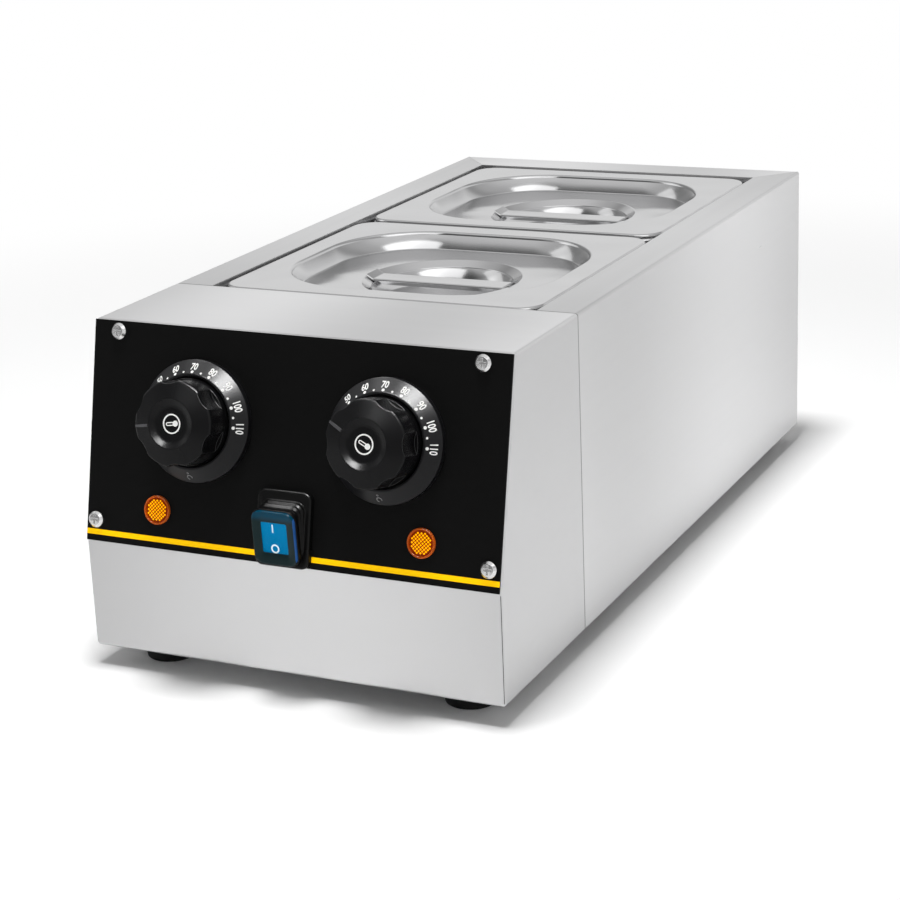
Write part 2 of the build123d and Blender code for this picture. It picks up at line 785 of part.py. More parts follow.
def make_switch_window():
    """Tinted cap: a frame that slopes in to a clear pane over the rocker."""
    cap = rounded_plate(window_width, window_length, window_corner, window_back, window_front)
    cap = fillet(cap.faces().sort_by(Axis.Z)[-1].edges(), window_edge_radius)
    pane_z = window_front - window_recess
    slope = loft([
        Pos(0, 0, pane_z) * RectangleRounded(*window_pane, window_pane_corner),
        Pos(0, 0, window_front + 0.01) * RectangleRounded(*window_frame, window_frame_corner),
    ])
    cap -= slope
    cap -= prism(Rectangle(rocker_width + 2 * seat_gap, rocker_length + 2 * seat_gap),
                 window_back - 1, pane_back)
    return rocker_rest * cap


def make_switch_boot():
    """Rubber boot: a flange over the bezel, folded bellows and a collar round the window."""
    flange_top = fascia_sheet + boot_flange
    flange = rounded_plate(boot_width, boot_length, boot_corner, fascia_sheet, flange_top)
    flange = fillet(flange.faces().sort_by(Axis.Z)[-1].edges(), boot_edge_radius)
    bezel_top = fascia_sheet + switch_bezel[2] + seat_gap
    flange -= prism(RectangleRounded(boot_width - 2 * boot_rim, boot_length - 2 * boot_rim,
                                     boot_corner - boot_rim), 0, bezel_top)
    boot = on_panel(0, switch_drop) * flange
    low, high = boot_folds[0][0], boot_folds[-2][0]
    below = (low - 2 * boot_wall, boot_folds[0][1])
    skins = []
    for wall, folds in ((0.0, boot_folds), (boot_wall, (below, *boot_folds))):
        faces = []
        for level, extra in folds:
            tilt = rocker_tilt * min(max((level - low) / (high - low), 0), 1)
            spare = extra - 2 * wall
            faces.append(pivot * Rot(tilt, 0, 0) * Pos(0, 0, level) * RectangleRounded(
                window_width + spare, window_length + spare, window_corner + spare / 2
            ))
        skins.append(loft(faces, ruled=True))
    pocket = rocker_rest * rounded_plate(
        window_width + 2 * seat_gap, window_length + 2 * seat_gap, window_corner + seat_gap,
        window_back - seat_gap, window_front
    )
    return boot + skins[0] - skins[1] - pocket


def make_fascia_screws():
    """Cross-recessed screws at the corners of the black plate."""
    return group(*(
        on_panel(x, drop, fascia_sheet) * pan_head_screw() for x, drop in fascia_screw_places
    ))


# Pans, lids and wells

def make_pan(pan_y):
    """Drawn gastronorm pan with a turned-down rim."""
    mouth = (pan_length - 2 * pan_rim_width, pan_width - 2 * pan_rim_width, pan_mouth_corner)
    wall = [
        (-pan_draft - pan_floor_radius, -pan_depth),
        (-pan_draft, -pan_depth, pan_floor_radius),
        (0, 0, 2.0),
        (3, 0),
    ]
    return Pos(0, pan_y, rim_top) * tray_from_floor(
        pan_sheet, (pan_length, pan_width, pan_rim_corner), pan_rim_height, mouth, wall
    )


def tray_from_floor(thickness, flange, lip, mouth, wall, floor_hole=0):
    """Drawn tray whose wall corners run from the floor up to the flange, sheet below."""
    reach_out, reach_in = wall[-1][0], wall[0][0]
    floor_z = wall[0][1]
    section = Plane.XZ * sheet_section(list(reversed(wall)), thickness)
    tray = drawn_ring(section, *mouth)
    outer = [mouth[0] + 2 * reach_out, mouth[1] + 2 * reach_out, mouth[2] + reach_out]
    land = rounded_plate(*flange, -thickness, 0)
    if lip:
        band = lip + 2 * thickness
        edge = [(-band, 0), (0, 0, lid_edge_radius), (0, -lip)]
        edge_section = Plane.XZ * sheet_section(list(reversed(edge)), thickness)
        tray += drawn_ring(edge_section, *flange)
        land = rounded_plate(flange[0] - 2 * band, flange[1] - 2 * band, flange[2] - band,
                             -thickness, 0)
    land -= rounded_plate(*outer, -2 * thickness, thickness)
    inner = [mouth[0] + 2 * reach_in, mouth[1] + 2 * reach_in, mouth[2] + reach_in]
    floor = rounded_plate(*inner, floor_z - thickness, floor_z)
    if floor_hole:
        floor -= Pos(0, 0, floor_z) * Cylinder(floor_hole, 4 * thickness)
    return tray + land + floor


def make_lid(pan_y):
    """Pressed lid: a flange, a rounded dish and a round pit under the handle."""
    flange = (pan_length - 2 * lid_inset, pan_width - 2 * lid_inset, lid_corner)
    reach = dish_floor_radius + 1
    wall = [
        (-dish_slope - reach, -dish_depth),
        (-dish_slope, -dish_depth, dish_floor_radius),
        (0, 0, dish_top_radius),
        (3, 0),
    ]
    tray = tray_from_floor(lid_sheet, flange, lid_lip, (dish_length, dish_width, dish_corner),
                           wall, pit_radius + 2)
    bevel_end = pit_radius - pit_bevel_width
    bevel_z = -dish_depth - pit_bevel_depth
    floor_z = bevel_z - pit_wall_depth
    pit = [
        (pit_radius + 2, -dish_depth),
        (pit_radius, -dish_depth, 1.0),
        (bevel_end, bevel_z, 0.8),
        (bevel_end - pit_wall_slope, floor_z, pit_floor_radius),
        (0, floor_z),
    ]
    tray += revolve(Plane.XZ * sheet_section(pit, lid_sheet), Axis.Z)
    return Pos(0, pan_y, lid_top) * tray


def make_handle(pan_y):
    """Strap across the pit: its ends lie on the bevel, its long edges are folded down."""
    bevel_end = pit_radius - pit_bevel_width
    bevel_z = -dish_depth - pit_bevel_depth
    slope = pit_bevel_depth / pit_bevel_width
    tab = pit_bevel_width - 1.2
    lift = handle_tab_gap + handle_sheet
    side_view = [
        (bevel_end + tab, bevel_z + slope * tab + lift),
        (bevel_end, bevel_z + lift, 1.2),
        (-bevel_end, bevel_z + lift, 1.2),
        (-bevel_end - tab, bevel_z + slope * tab + lift),
    ]
    strap = extrude(Plane.XZ * sheet_section(side_view, handle_sheet), handle_width / 2,
                    both=True)
    edge = bevel_end - pit_wall_slope - 3
    for side in (-1, 1):
        y0, y1 = sorted((side * handle_width / 2, side * (handle_width / 2 - handle_sheet)))
        top = bevel_z + handle_tab_gap
        strap += block(-edge, edge, y0, y1, top - handle_curl, top + handle_sheet / 2)
    pad_x = bevel_end + tab / 2
    pad_top = bevel_z + slope * tab / 2 + lift - handle_sheet / 2
    for x in (-pad_x, pad_x):
        for y in (-weld_spacing / 2, weld_spacing / 2):
            strap += Pos(x, y, 0) * prism(Circle(weld_radius), bevel_z - 1, pad_top)
    below_bevel = turned(
        (pit_radius + lift, bevel_z + slope * (pit_bevel_width + lift)),
        (bevel_end - lift, bevel_z - slope * lift),
        (bevel_end - lift, bevel_z - 2 * pit_bevel_depth),
        (pit_radius + lift, bevel_z - 2 * pit_bevel_depth),
    )
    return Pos(0, pan_y, lid_top) * (strap - below_bevel)


def make_well(pan_y):
    """Drawn tank that a pan hangs in."""
    flange = (opening_width - 2 * well_gap, opening_depth / 2 - 2 * well_gap, well_corner)
    inset = pan_rim_width - well_mouth_gap
    mouth = (pan_length - 2 * inset, pan_width - 2 * inset, pan_mouth_corner)
    wall = [
        (-well_floor_radius - 2, -well_depth),
        (0, -well_depth, well_floor_radius),
        (0, 0, 1.0),
        (2.5, 0),
    ]
    return Pos(0, pan_y, well_top) * tray_from_floor(well_sheet, flange, 0, mouth, wall)


def make_well_rail():
    """Channel across the casing under the edges of the two wells."""
    half = half_opening - ledge_width - seat_gap
    fold = [
        (rail_width / 2, ledge_top - rail_height),
        (rail_width / 2, ledge_top, 1.2),
        (-rail_width / 2, ledge_top, 1.2),
        (-rail_width / 2, ledge_top - rail_height),
    ]
    middle = sum(pan_centres) / 2
    return Pos(0, middle, 0) * extrude(Plane.YZ * sheet_section(fold, sheet), half, both=True)


heater_z = well_floor_bottom - heater_plate[2]
tube_z = heater_z - heater_tube_radius
insulation_z = tube_z - heater_tube_radius
clamp_z = insulation_z - insulation_height - clamp_bar[2]


def make_heater_plate(pan_y):
    """Aluminium plate against a well's floor."""
    plate = Pos(0, pan_y, heater_z + heater_plate[2] / 2) * Box(*heater_plate)
    for end in (-1, 1):
        plate -= Pos(0, pan_y + end * stud_offset, heater_z) * Cylinder(
            stud_radius + panel_clearance, 4 * heater_plate[2]
        )
    return plate


def make_heater_tube(pan_y):
    """Hairpin heating element under its plate."""
    back, front = heater_plate[1] / 2 - heater_end_gap, -heater_plate[1] / 2 - heater_tail
    path = FilletPolyline(
        (-heater_half_span, pan_y + front, tube_z), (-heater_half_span, pan_y + back, tube_z),
        (heater_half_span, pan_y + back, tube_z), (heater_half_span, pan_y + front, tube_z),
        radius=heater_bend,
    )
    start = Plane(origin=(-heater_half_span, pan_y + front, tube_z), z_dir=(0, 1, 0))
    return sweep(start * Circle(heater_tube_radius), path=path)


def make_insulation(pan_y):
    """Fibre board under the heating element."""
    board = Pos(0, pan_y, insulation_z - insulation_height / 2) * Box(
        heater_plate[0], heater_plate[1], insulation_height
    )
    for end in (-1, 1):
        board -= Pos(0, pan_y + end * stud_offset, insulation_z) * Cylinder(
            stud_radius + panel_clearance, 4 * insulation_height
        )
    return board


def make_heater_clamps():
    """Clamp bars on studs under the wells, with their nuts."""
    pieces = []
    for pan_y in pan_centres:
        bar = Pos(0, pan_y, clamp_z + clamp_bar[2] / 2) * Box(*clamp_bar)
        for end in (-1, 1):
            place = Pos(0, pan_y + end * stud_offset, 0)
            bar -= place * Pos(0, 0, clamp_z) * Cylinder(stud_radius + panel_clearance,
                                                         4 * clamp_sheet)
            stud_end = clamp_z - nut_height - stud_tail
            pieces.append(place * prism(Circle(stud_radius), stud_end, well_floor_bottom))
            nut = hexagon(nut_flats, clamp_z - nut_height, clamp_z)
            pieces.append(place * (nut - Pos(0, 0, clamp_z) * Cylinder(
                stud_radius + seat_gap, 4 * nut_height)))
        pieces.append(bar)
    return group(*pieces)


# Bottom, inlet and fasteners

def make_foot(place):
    """Rubber foot with a recess for its screw."""
    foot = turned(
        (stud_radius + panel_clearance, foot_floor), (foot_recess_radius, foot_floor),
        (foot_recess_radius, 0), (foot_radius - foot_taper, 0, 0.8),
        (foot_radius, plate_z0, 0), (stud_radius + panel_clearance, plate_z0),
    )
    return Pos(*place, 0) * foot


def make_foot_screws():
    """Screws and nuts that hold the feet to the base plate."""
    pieces = []
    for place in foot_places.values():
        top = plate_z1 + nut_height + 1
        screw = prism(Circle(stud_radius), foot_floor, top)
        screw += prism(Circle(foot_recess_radius - 1.2), foot_floor - 2.4, foot_floor)
        nut = hexagon(nut_flats, plate_z1, plate_z1 + nut_height)
        nut -= Pos(0, 0, plate_z1) * Cylinder(stud_radius + seat_gap, 4 * nut_height)
        pieces += [Pos(*place, 0) * screw, Pos(*place, 0) * nut]
    return group(*pieces)


def make_base_screws():
    """Screws from below through the side flanges into the base plate."""
    screw = Rot(180, 0, 0) * pan_head_screw()
    return group(*(Pos(x, y, z_bottom) * screw for x, y in base_screw_places))


def make_back_screws():
    """Screws that hold the back panel to the side panels' tabs."""
    screw = Rot(-90, 0, 0) * pan_head_screw()
    return group(*(Pos(x, y_back, z) * screw for x, z in back_screw_places))


gland_place = Pos(gland_x, y_back, z_bottom + gland_rise) * Rot(-90, 0, 0)


def make_cable_gland():
    """Cable gland for the mains lead, with its thread through the back panel."""
    body = hexagon(gland_flats, 0, gland_hex_height)
    body += turned(
        (0, gland_hex_height), (gland_dome_radius, gland_hex_height),
        (gland_dome_radius, gland_hex_height + gland_dome_height * 0.6, 1.0),
        (gland_bore + 1.8, gland_hex_height + gland_dome_height, 0.8),
        (0, gland_hex_height + gland_dome_height),
    )
    body += prism(Circle(gland_thread_radius), -sheet - gland_nut_height - stud_tail, 0)
    return gland_place * (body - Cylinder(gland_bore, 4 * (gland_hex_height + gland_dome_height)))


def make_gland_nut():
    """Nut behind the back panel."""
    nut = hexagon(gland_nut_flats, -sheet - gland_nut_height, -sheet)
    return gland_place * (nut - Cylinder(gland_thread_radius + seat_gap,
                                         4 * (sheet + gland_nut_height)))


def make_terminal_block():
    """Mains terminals on the base plate, with three wire entries each side."""
    x, y, z = terminal_block_size
    body = Box(x, y, z)
    body -= Pos(0, 0, z / 2) * Box(x + 1, y / 2, z / 2)
    for k in (-1, 0, 1):
        body += Pos(k * x / 3, 0, z / 4 - 1) * Box(x / 5, y / 2, z / 2)
        body -= Pos(k * x / 3, 0, 0) * Rot(90, 0, 0) * Cylinder(terminal_bore, y + 1)
    block_y = y_back - bottom_flange - terminal_margin - y / 2
    return Pos(gland_x + x / 2, block_y, plate_z1 + z / 2) * body


# Pieces by node name

parts = {
    "front_housing": make_front_housing(),
    "left_side_panel": make_side_panel(-1),
    "right_side_panel": make_side_panel(1),
    "back_panel": make_back_panel(),
    "base_plate": make_base_plate(),
    "fascia_plate": make_fascia_plate(),
    "fascia_screws": make_fascia_screws(),
    "thermostat_screws": make_thermostat_screws(),
    "bulb_clips": make_bulb_clips(),
    "lamp_nuts": make_lamp_nuts(),
    "switch_body": make_switch_body(),
    "switch_boot": make_switch_boot(),
    "switch_rocker": make_switch_rocker(),
    "switch_window": make_switch_window(),
    "well_rail": make_well_rail(),
    "heater_clamps": make_heater_clamps(),
    "foot_screws": make_foot_screws(),
    "base_screws": make_base_screws(),
    "back_screws": make_back_screws(),
    "cable_gland": make_cable_gland(),
    "gland_nut": make_gland_nut(),
    "terminal_block": make_terminal_block(),
}
for name, side in hands.items():
    pointer = {"left": left_pointer, "right": right_pointer}[name]
    parts[f"dial_{name}"] = make_dial(side)
    parts[f"knob_{name}"] = make_knob(side, pointer)
    parts[f"spindle_{name}"] = make_spindle(side, pointer)
    parts[f"thermostat_{name}"] = make_thermostat(side)
    parts[f"lens_{name}"] = make_lens(side)
    parts[f"lamp_{name}"] = make_lamp(side)
parts["capillary_right"] = make_capillary(1, pan_centres[0])
parts["capillary_left"] = make_capillary(-1, pan_centres[1])
for name, place in foot_places.items():
    parts[name] = make_foot(place)
for end, pan_y in zip(("front", "rear"), pan_centres):
    parts[f"pan_{end}"] = make_pan(pan_y)
    parts[f"lid_{end}"] = make_lid(pan_y)
    parts[f"handle_{end}"] = make_handle(pan_y)
    parts[f"well_{end}"] = make_well(pan_y)
    parts[f"heater_plate_{end}"] = make_heater_plate(pan_y)
    parts[f"heater_tube_{end}"] = make_heater_tube(pan_y)
    parts[f"insulation_{end}"] = make_insulation(pan_y)

# The origin is the middle of the machine's footprint box, on the surface that it stands on
front_reach = min(
    parts[name].bounding_box().min.Y for name in ("knob_left", "knob_right", "switch_window")
)
back_reach = parts["cable_gland"].bounding_box().max.Y
middle_y = (front_reach + back_reach) / 2

os.makedirs("parts", exist_ok=True)
for name, piece in parts.items():
    export_step(Pos(0, -middle_y, 0) * piece, f"parts/{name}.step")

dial_centre = on_panel(control_x, dial_drop).position
pivot_centre = pivot.position
print("middle_y", round(middle_y, 6), "front", round(front_reach, 3), "back", round(back_reach, 3))
print("size", body_width, round(back_reach - front_reach, 3), z_top)
print("dial centre", dial_centre.X, dial_centre.Y - middle_y, dial_centre.Z)
print("switch pivot", pivot_centre.Y - middle_y, pivot_centre.Z)
print("pan centres", [pan_y - middle_y for pan_y in pan_centres])
print("outward", outward.Y, outward.Z)
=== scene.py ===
"""Dresses the two-pan chocolate tempering machine: satin casing, polished lids, printed
panel and dials, amber lamps, and the rubber-booted switch, in a soft white studio."""

import json
from math import atan2, cos, degrees, pi, radians, sin, tan

import bmesh
import bpy
from mathutils import Matrix, Vector

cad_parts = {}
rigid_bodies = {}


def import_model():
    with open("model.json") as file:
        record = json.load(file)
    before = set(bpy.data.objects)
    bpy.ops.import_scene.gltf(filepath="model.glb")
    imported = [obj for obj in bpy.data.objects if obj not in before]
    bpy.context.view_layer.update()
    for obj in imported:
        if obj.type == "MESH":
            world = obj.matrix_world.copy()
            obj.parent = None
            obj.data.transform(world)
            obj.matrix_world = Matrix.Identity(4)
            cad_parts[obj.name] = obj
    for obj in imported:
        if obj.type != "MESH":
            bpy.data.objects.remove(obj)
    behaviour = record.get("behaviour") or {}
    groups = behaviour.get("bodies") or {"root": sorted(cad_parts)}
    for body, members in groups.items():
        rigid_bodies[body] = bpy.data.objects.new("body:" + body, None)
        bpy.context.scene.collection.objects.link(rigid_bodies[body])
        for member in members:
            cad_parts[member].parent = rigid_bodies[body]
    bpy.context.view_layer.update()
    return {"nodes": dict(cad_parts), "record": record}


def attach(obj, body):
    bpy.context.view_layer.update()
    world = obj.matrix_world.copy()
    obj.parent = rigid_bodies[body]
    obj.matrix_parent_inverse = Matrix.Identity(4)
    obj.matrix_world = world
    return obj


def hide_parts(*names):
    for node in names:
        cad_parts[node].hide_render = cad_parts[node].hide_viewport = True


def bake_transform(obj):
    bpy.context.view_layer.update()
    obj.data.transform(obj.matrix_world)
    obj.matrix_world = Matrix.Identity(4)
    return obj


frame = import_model()

# Sizes are in millimetres, as in the part's source, and every mesh is built in metres in
# the shared frame. A drop is measured down the sloped panel from its top edge.
mm = 0.001
merge_distance = 0.0005

# Casing and sloped panel
middle_y = 203.94022        # from the casing's top front edge back to the frame's origin
z_top = 170.0
half_width = 110.0
front_strip = 73.0          # top surface in front of the pans
bend_radius = 1.6
fascia_tilt = radians(13.1)
fascia_length = 107.5
fascia_sheet = 0.8
stripe_half_width = 109.4
stripe_drop = 101.7
stripe_height = 2.6
print_thickness = 0.05
# Painted shadows along the lower front corners' seams
corner_shadow_angles = (38, 44, 50)       # degrees round the bend, from the front
corner_shadow_low = 11.8

# Controls on the panel
hands = {"left": -1, "right": 1}
pointer_angles = {"left": -98.0, "right": -64.4}    # degrees clockwise from the top
control_x = 50.0
dial_drop = 44.3
lamp_x = 70.0
lamp_drop = 88.8
switch_drop = 89.8
pivot_depth = 1.6
rocker_tilt = radians(16.0)

# Lids: outlines are (length, width, corner radius) and heights count from the lid's top
pan_middle = {"front": 155.5, "rear": 320.5}
lid_top = 169.4
lid_steps = 26
lid_outline = (174.0, 160.0, 13.0)
lid_rim = 2.2
lid_sheet = 0.8
dish_outline = (146.0, 130.0, 48.0)
dish_lean = 4.0
dish_floor = -9.0
pit_radius = 42.0
bevel_width = 5.0
bevel_foot = -11.9
pit_lean = 2.0
pit_floor = -19.9

# Strap handles
strap_half_width = 7.0
strap_sheet = 1.0
strap_curl = 1.6            # depth of the folded edges
strap_gap = 0.75            # under the strap, over the bevel's foot
strap_tab = 3.8             # run of each tab up the bevel
fold_end = 31.0             # where the folded edges begin to fade out
fold_fade = 3.0
weld_radius = 1.6
weld_height = 0.6
weld_sink = 0.1
weld_y = 3.5


def panel_place(x, drop, rise=0.0):
    """Matrix of a local frame on the sloped panel: y up the slope, z out of it."""
    up = Vector((0, sin(fascia_tilt), cos(fascia_tilt)))
    out = Vector((0, -cos(fascia_tilt), sin(fascia_tilt)))
    origin = Vector((0, -middle_y, z_top)) + Vector((x, 0, 0)) - up * drop + out * rise
    rows = Matrix((Vector((1, 0, 0)), up, out)).transposed().to_4x4()
    return Matrix.Scale(mm, 4) @ Matrix.Translation(origin) @ rows


def pan_place(end):
    """Matrix of a local frame on a lid: its middle, at the lid's top."""
    return Matrix.Scale(mm, 4) @ Matrix.Translation((0, pan_middle[end] - middle_y, lid_top))


# Node helpers

def link(tree, start, end):
    tree.links.new(start, end)


def arithmetic(tree, operation, *values, clamp=False):
    """Math node whose inputs are sockets or plain numbers; gives its output socket."""
    node = tree.nodes.new("ShaderNodeMath")
    node.operation = operation
    node.use_clamp = clamp
    for socket, value in zip(node.inputs, values):
        if isinstance(value, (int, float)):
            socket.default_value = value
        else:
            link(tree, value, socket)
    return node.outputs[0]


def length_along(tree, point, way):
    """Dot product of a socket with another socket or a plain vector."""
    node = tree.nodes.new("ShaderNodeVectorMath")
    node.operation = "DOT_PRODUCT"
    link(tree, point, node.inputs[0])
    if hasattr(way, "is_linked"):
        link(tree, way, node.inputs[1])
    else:
        node.inputs[1].default_value = way
    return node.outputs["Value"]


def eased(tree, value, start, end, low=0.0, high=1.0):
    """Soft run from low, where the value is at start, to high, where it is at end."""
    node = tree.nodes.new("ShaderNodeMapRange")
    node.interpolation_type = "SMOOTHSTEP"
    link(tree, value, node.inputs["Value"])
    for label, number in (("From Min", start), ("From Max", end), ("To Min", low),
                          ("To Max", high)):
        node.inputs[label].default_value = number
    return node.outputs[0]


def noise(tree, point, scale, detail, roughness=0.5):
    """Noise texture's value; its scale and detail are sockets or plain numbers."""
    node = tree.nodes.new("ShaderNodeTexNoise")
    link(tree, point, node.inputs["Vector"])
    node.inputs["Roughness"].default_value = roughness
    for label, value in (("Scale", scale), ("Detail", detail)):
        if isinstance(value, (int, float)):
            node.inputs[label].default_value = value
        else:
            link(tree, value, node.inputs[label])
    return node.outputs["Fac"]


def bumped(tree, height, distance, normal):
    """Bump of a height in metres over a normal, if there is one; gives the new normal."""
    node = tree.nodes.new("ShaderNodeBump")
    node.inputs["Distance"].default_value = distance
    link(tree, height, node.inputs["Height"])
    if normal:
        link(tree, normal, node.inputs["Normal"])
    return node.outputs["Normal"]


# Effects that several finishes share

def new_group(name, sockets_in, sockets_out):
    """Empty shader group with its sockets: (name, kind, default) in, (name, kind) out."""
    group = bpy.data.node_groups.new(name, "ShaderNodeTree")
    for label, kind, default in sockets_in:
        socket = group.interface.new_socket(label, in_out="INPUT", socket_type=kind)
        if default is not None:
            socket.default_value = default
    for label, kind in sockets_out:
        group.interface.new_socket(label, in_out="OUTPUT", socket_type=kind)
    source = group.nodes.new("NodeGroupInput")
    target = group.nodes.new("NodeGroupOutput")
    return group, source, target


def make_grain_group():
    """Fine parallel brushing: long streaks across a scaled coordinate."""
    group, source, target = new_group(
        "brushed_grain",
        [("Vector", "NodeSocketVector", None), ("Stretch", "NodeSocketVector", (1, 1, 1)),
         ("Detail", "NodeSocketFloat", 3.0)],
        [("Height", "NodeSocketFloat"), ("Streak", "NodeSocketFloat")],
    )
    scaled = group.nodes.new("ShaderNodeVectorMath")
    scaled.operation = "MULTIPLY"
    link(group, source.outputs["Vector"], scaled.inputs[0])
    link(group, source.outputs["Stretch"], scaled.inputs[1])
    fine = noise(group, scaled.outputs[0], 1.0, source.outputs["Detail"], 0.65)
    coarse = noise(group, scaled.outputs[0], 0.13, 2.0)
    link(group, fine, target.inputs["Height"])
    link(group, arithmetic(group, "SUBTRACT", coarse, 0.5), target.inputs["Streak"])
    return group


def make_edge_group():
    """Mask that is 1 along convex edges, where a surface is worn and where a painted
    highlight runs along the edges.
    """
    group, source, target = new_group(
        "edge_rub_and_highlight", [("Radius", "NodeSocketFloat", 0.001), ("Gain", "NodeSocketFloat", 6.0)],
        [("Mask", "NodeSocketFloat")],
    )
    bevel = group.nodes.new("ShaderNodeBevel")
    bevel.samples = 4
    link(group, source.outputs["Radius"], bevel.inputs["Radius"])
    geometry = group.nodes.new("ShaderNodeNewGeometry")
    likeness = length_along(group, bevel.outputs["Normal"], geometry.outputs["Normal"])
    lack = arithmetic(group, "SUBTRACT", 1.0, likeness)
    link(group, arithmetic(group, "MULTIPLY", lack, source.outputs["Gain"], clamp=True),
         target.inputs["Mask"])
    return group


def make_variation_group():
    """Slow, faint unevenness of a finish, centred on zero."""
    group, source, target = new_group(
        "soft_variation",
        [("Vector", "NodeSocketVector", None), ("Scale", "NodeSocketFloat", 12.0)],
        [("Value", "NodeSocketFloat")],
    )
    cloud = noise(group, source.outputs["Vector"], source.outputs["Scale"], 3.0, 0.55)
    link(group, arithmetic(group, "SUBTRACT", cloud, 0.5), target.inputs["Value"])
    return group


def make_band_group():
    """Painted sheen: broad soft light and dark stripes along one way, standing in for the
    reflections that brushed sheet shows under large lights.
    """
    group, source, target = new_group(
        "painted_sheen_bands",
        [("Vector", "NodeSocketVector", None), ("Wave", "NodeSocketVector", (20, 0, 0)),
         ("Shift", "NodeSocketFloat", 0.0)],
        [("Value", "NodeSocketFloat")],
    )
    run = length_along(group, source.outputs["Vector"], source.outputs["Wave"])
    phase = arithmetic(group, "ADD", run, source.outputs["Shift"])
    link(group, arithmetic(group, "SINE", phase), target.inputs["Value"])
    return group


grain_group = make_grain_group()
rub_and_highlight_group = make_edge_group()
variation_group = make_variation_group()
painted_band_group = make_band_group()


def use_group(tree, group, **values):
    """Instance of a group, with constants or sockets on its inputs."""
    node = tree.nodes.new("ShaderNodeGroup")
    node.node_tree = group
    for label, value in values.items():
        if hasattr(value, "is_linked"):
            link(tree, value, node.inputs[label])
        else:
            node.inputs[label].default_value = value
    return node


# Finishes: heights, radii and fades are in metres, and scales are per metre

rub_and_highlight_radius = 0.0004


def rubbed_colour(tree, color, edge_light):
    """A finish's colour, lighter along its convex edges: partly worn edges, partly a painted
    highlight along them.
    """
    tint = tree.nodes.new("ShaderNodeMix")
    tint.data_type = "RGBA"
    tint.inputs["A"].default_value = (*color, 1)
    tint.inputs["B"].default_value = (*(min(1, part + edge_light) for part in color), 1)
    edge_mask = use_group(tree, rub_and_highlight_group, Radius=rub_and_highlight_radius)
    link(tree, edge_mask.outputs["Mask"], tint.inputs["Factor"])
    return tint.outputs["Result"]


def faded_colour(tree, coordinate, shown, way, start, end, other):
    """A colour that turns into another one from start to end along a way: a painted shade or
    painted light.
    """
    painted_fade = tree.nodes.new("ShaderNodeMix")
    painted_fade.data_type = "RGBA"
    run = length_along(tree, coordinate, way)
    link(tree, eased(tree, run, start, end), painted_fade.inputs["Factor"])
    link(tree, shown, painted_fade.inputs["A"])
    painted_fade.inputs["B"].default_value = (*other, 1)
    return painted_fade.outputs["Result"]


def banded_colour(tree, coordinate, shown, painted_bands):
    """A colour with painted sheen: one set of light and dark stripes on upright faces and
    another on level ones, each set at its own level, so level faces can be painted lighter.
    """
    gains = []
    for wave, shift, depth, level in painted_bands:
        sheen_wave = use_group(tree, painted_band_group, Vector=coordinate, Wave=wave, Shift=shift)
        gains.append(arithmetic(tree, "MULTIPLY_ADD", sheen_wave.outputs["Value"], depth,
                                level - depth))
    facing = tree.nodes.new("ShaderNodeSeparateXYZ")
    geometry = tree.nodes.new("ShaderNodeNewGeometry")
    link(tree, geometry.outputs["Normal"], facing.inputs[0])
    choice = tree.nodes.new("ShaderNodeMix")
    link(tree, arithmetic(tree, "ABSOLUTE", facing.outputs["Z"]), choice.inputs["Factor"])
    link(tree, gains[0], choice.inputs["A"])
    link(tree, gains[1], choice.inputs["B"])
    shaded = tree.nodes.new("ShaderNodeVectorMath")
    shaded.operation = "SCALE"
    link(tree, shown, shaded.inputs[0])
    link(tree, choice.outputs["Result"], shaded.inputs["Scale"])
    return shaded.outputs[0]


def finish_of(name, color, roughness, metallic=0.0, grain=None, grain_height=0.0,
              bump_scale=0.0, bump_height=0.0, bump_detail=4.0, edge_light=0.0,
              uneven=0.06, uneven_scale=14.0, round_edges=0.0, specular=0.5,
              transmission=0.0, ior=1.5, emission=0.0, painted_bands=(), painted_fades=()):
    """Material of one slot, from its colour, gloss, grain, worn edges with a painted edge
    highlight, and unevenness.

    Painted sheen stripes are (wave, shift, depth, level), first for upright and then for
    level faces, and each painted shade or light that turns the colour along a way is (way,
    start, end, colour)."""
    material = bpy.data.materials.new(name)
    material.use_nodes = True
    tree = material.node_tree
    shader = tree.nodes["Principled BSDF"]
    coordinate = tree.nodes.new("ShaderNodeTexCoord").outputs["Object"]
    for label, value in (("Metallic", metallic), ("IOR", ior),
                         ("Specular IOR Level", specular),
                         ("Transmission Weight", transmission)):
        shader.inputs[label].default_value = value

    shown = rubbed_colour(tree, color, edge_light)
    # Painted shade and light, each turning the colour along a way
    for painted_fade in painted_fades:
        shown = faded_colour(tree, coordinate, shown, *painted_fade)
    if painted_bands:
        shown = banded_colour(tree, coordinate, shown, painted_bands)
    link(tree, shown, shader.inputs["Base Color"])
    # Emission: the lamps' own glow, and on the prints, marks, rocker and window a painted
    # glow.
    if emission:
        link(tree, shown, shader.inputs["Emission Color"])
        shader.inputs["Emission Strength"].default_value = emission

    cloud = use_group(tree, variation_group, Vector=coordinate, Scale=uneven_scale)
    rough = arithmetic(tree, "MULTIPLY_ADD", cloud.outputs["Value"], uneven, roughness)
    normal = None
    if round_edges:
        bevel = tree.nodes.new("ShaderNodeBevel")
        bevel.samples = 6
        bevel.inputs["Radius"].default_value = round_edges
        normal = bevel.outputs["Normal"]
    if grain:
        brushed = use_group(tree, grain_group, Vector=coordinate, Stretch=grain)
        rough = arithmetic(tree, "MULTIPLY_ADD", brushed.outputs["Streak"], uneven, rough)
        normal = bumped(tree, brushed.outputs["Height"], grain_height, normal)
    if bump_height:
        texture = noise(tree, coordinate, bump_scale, bump_detail)
        normal = bumped(tree, texture, bump_height, normal)
    if normal:
        link(tree, normal, shader.inputs["Normal"])
    link(tree, rough, shader.inputs["Roughness"])
    return material


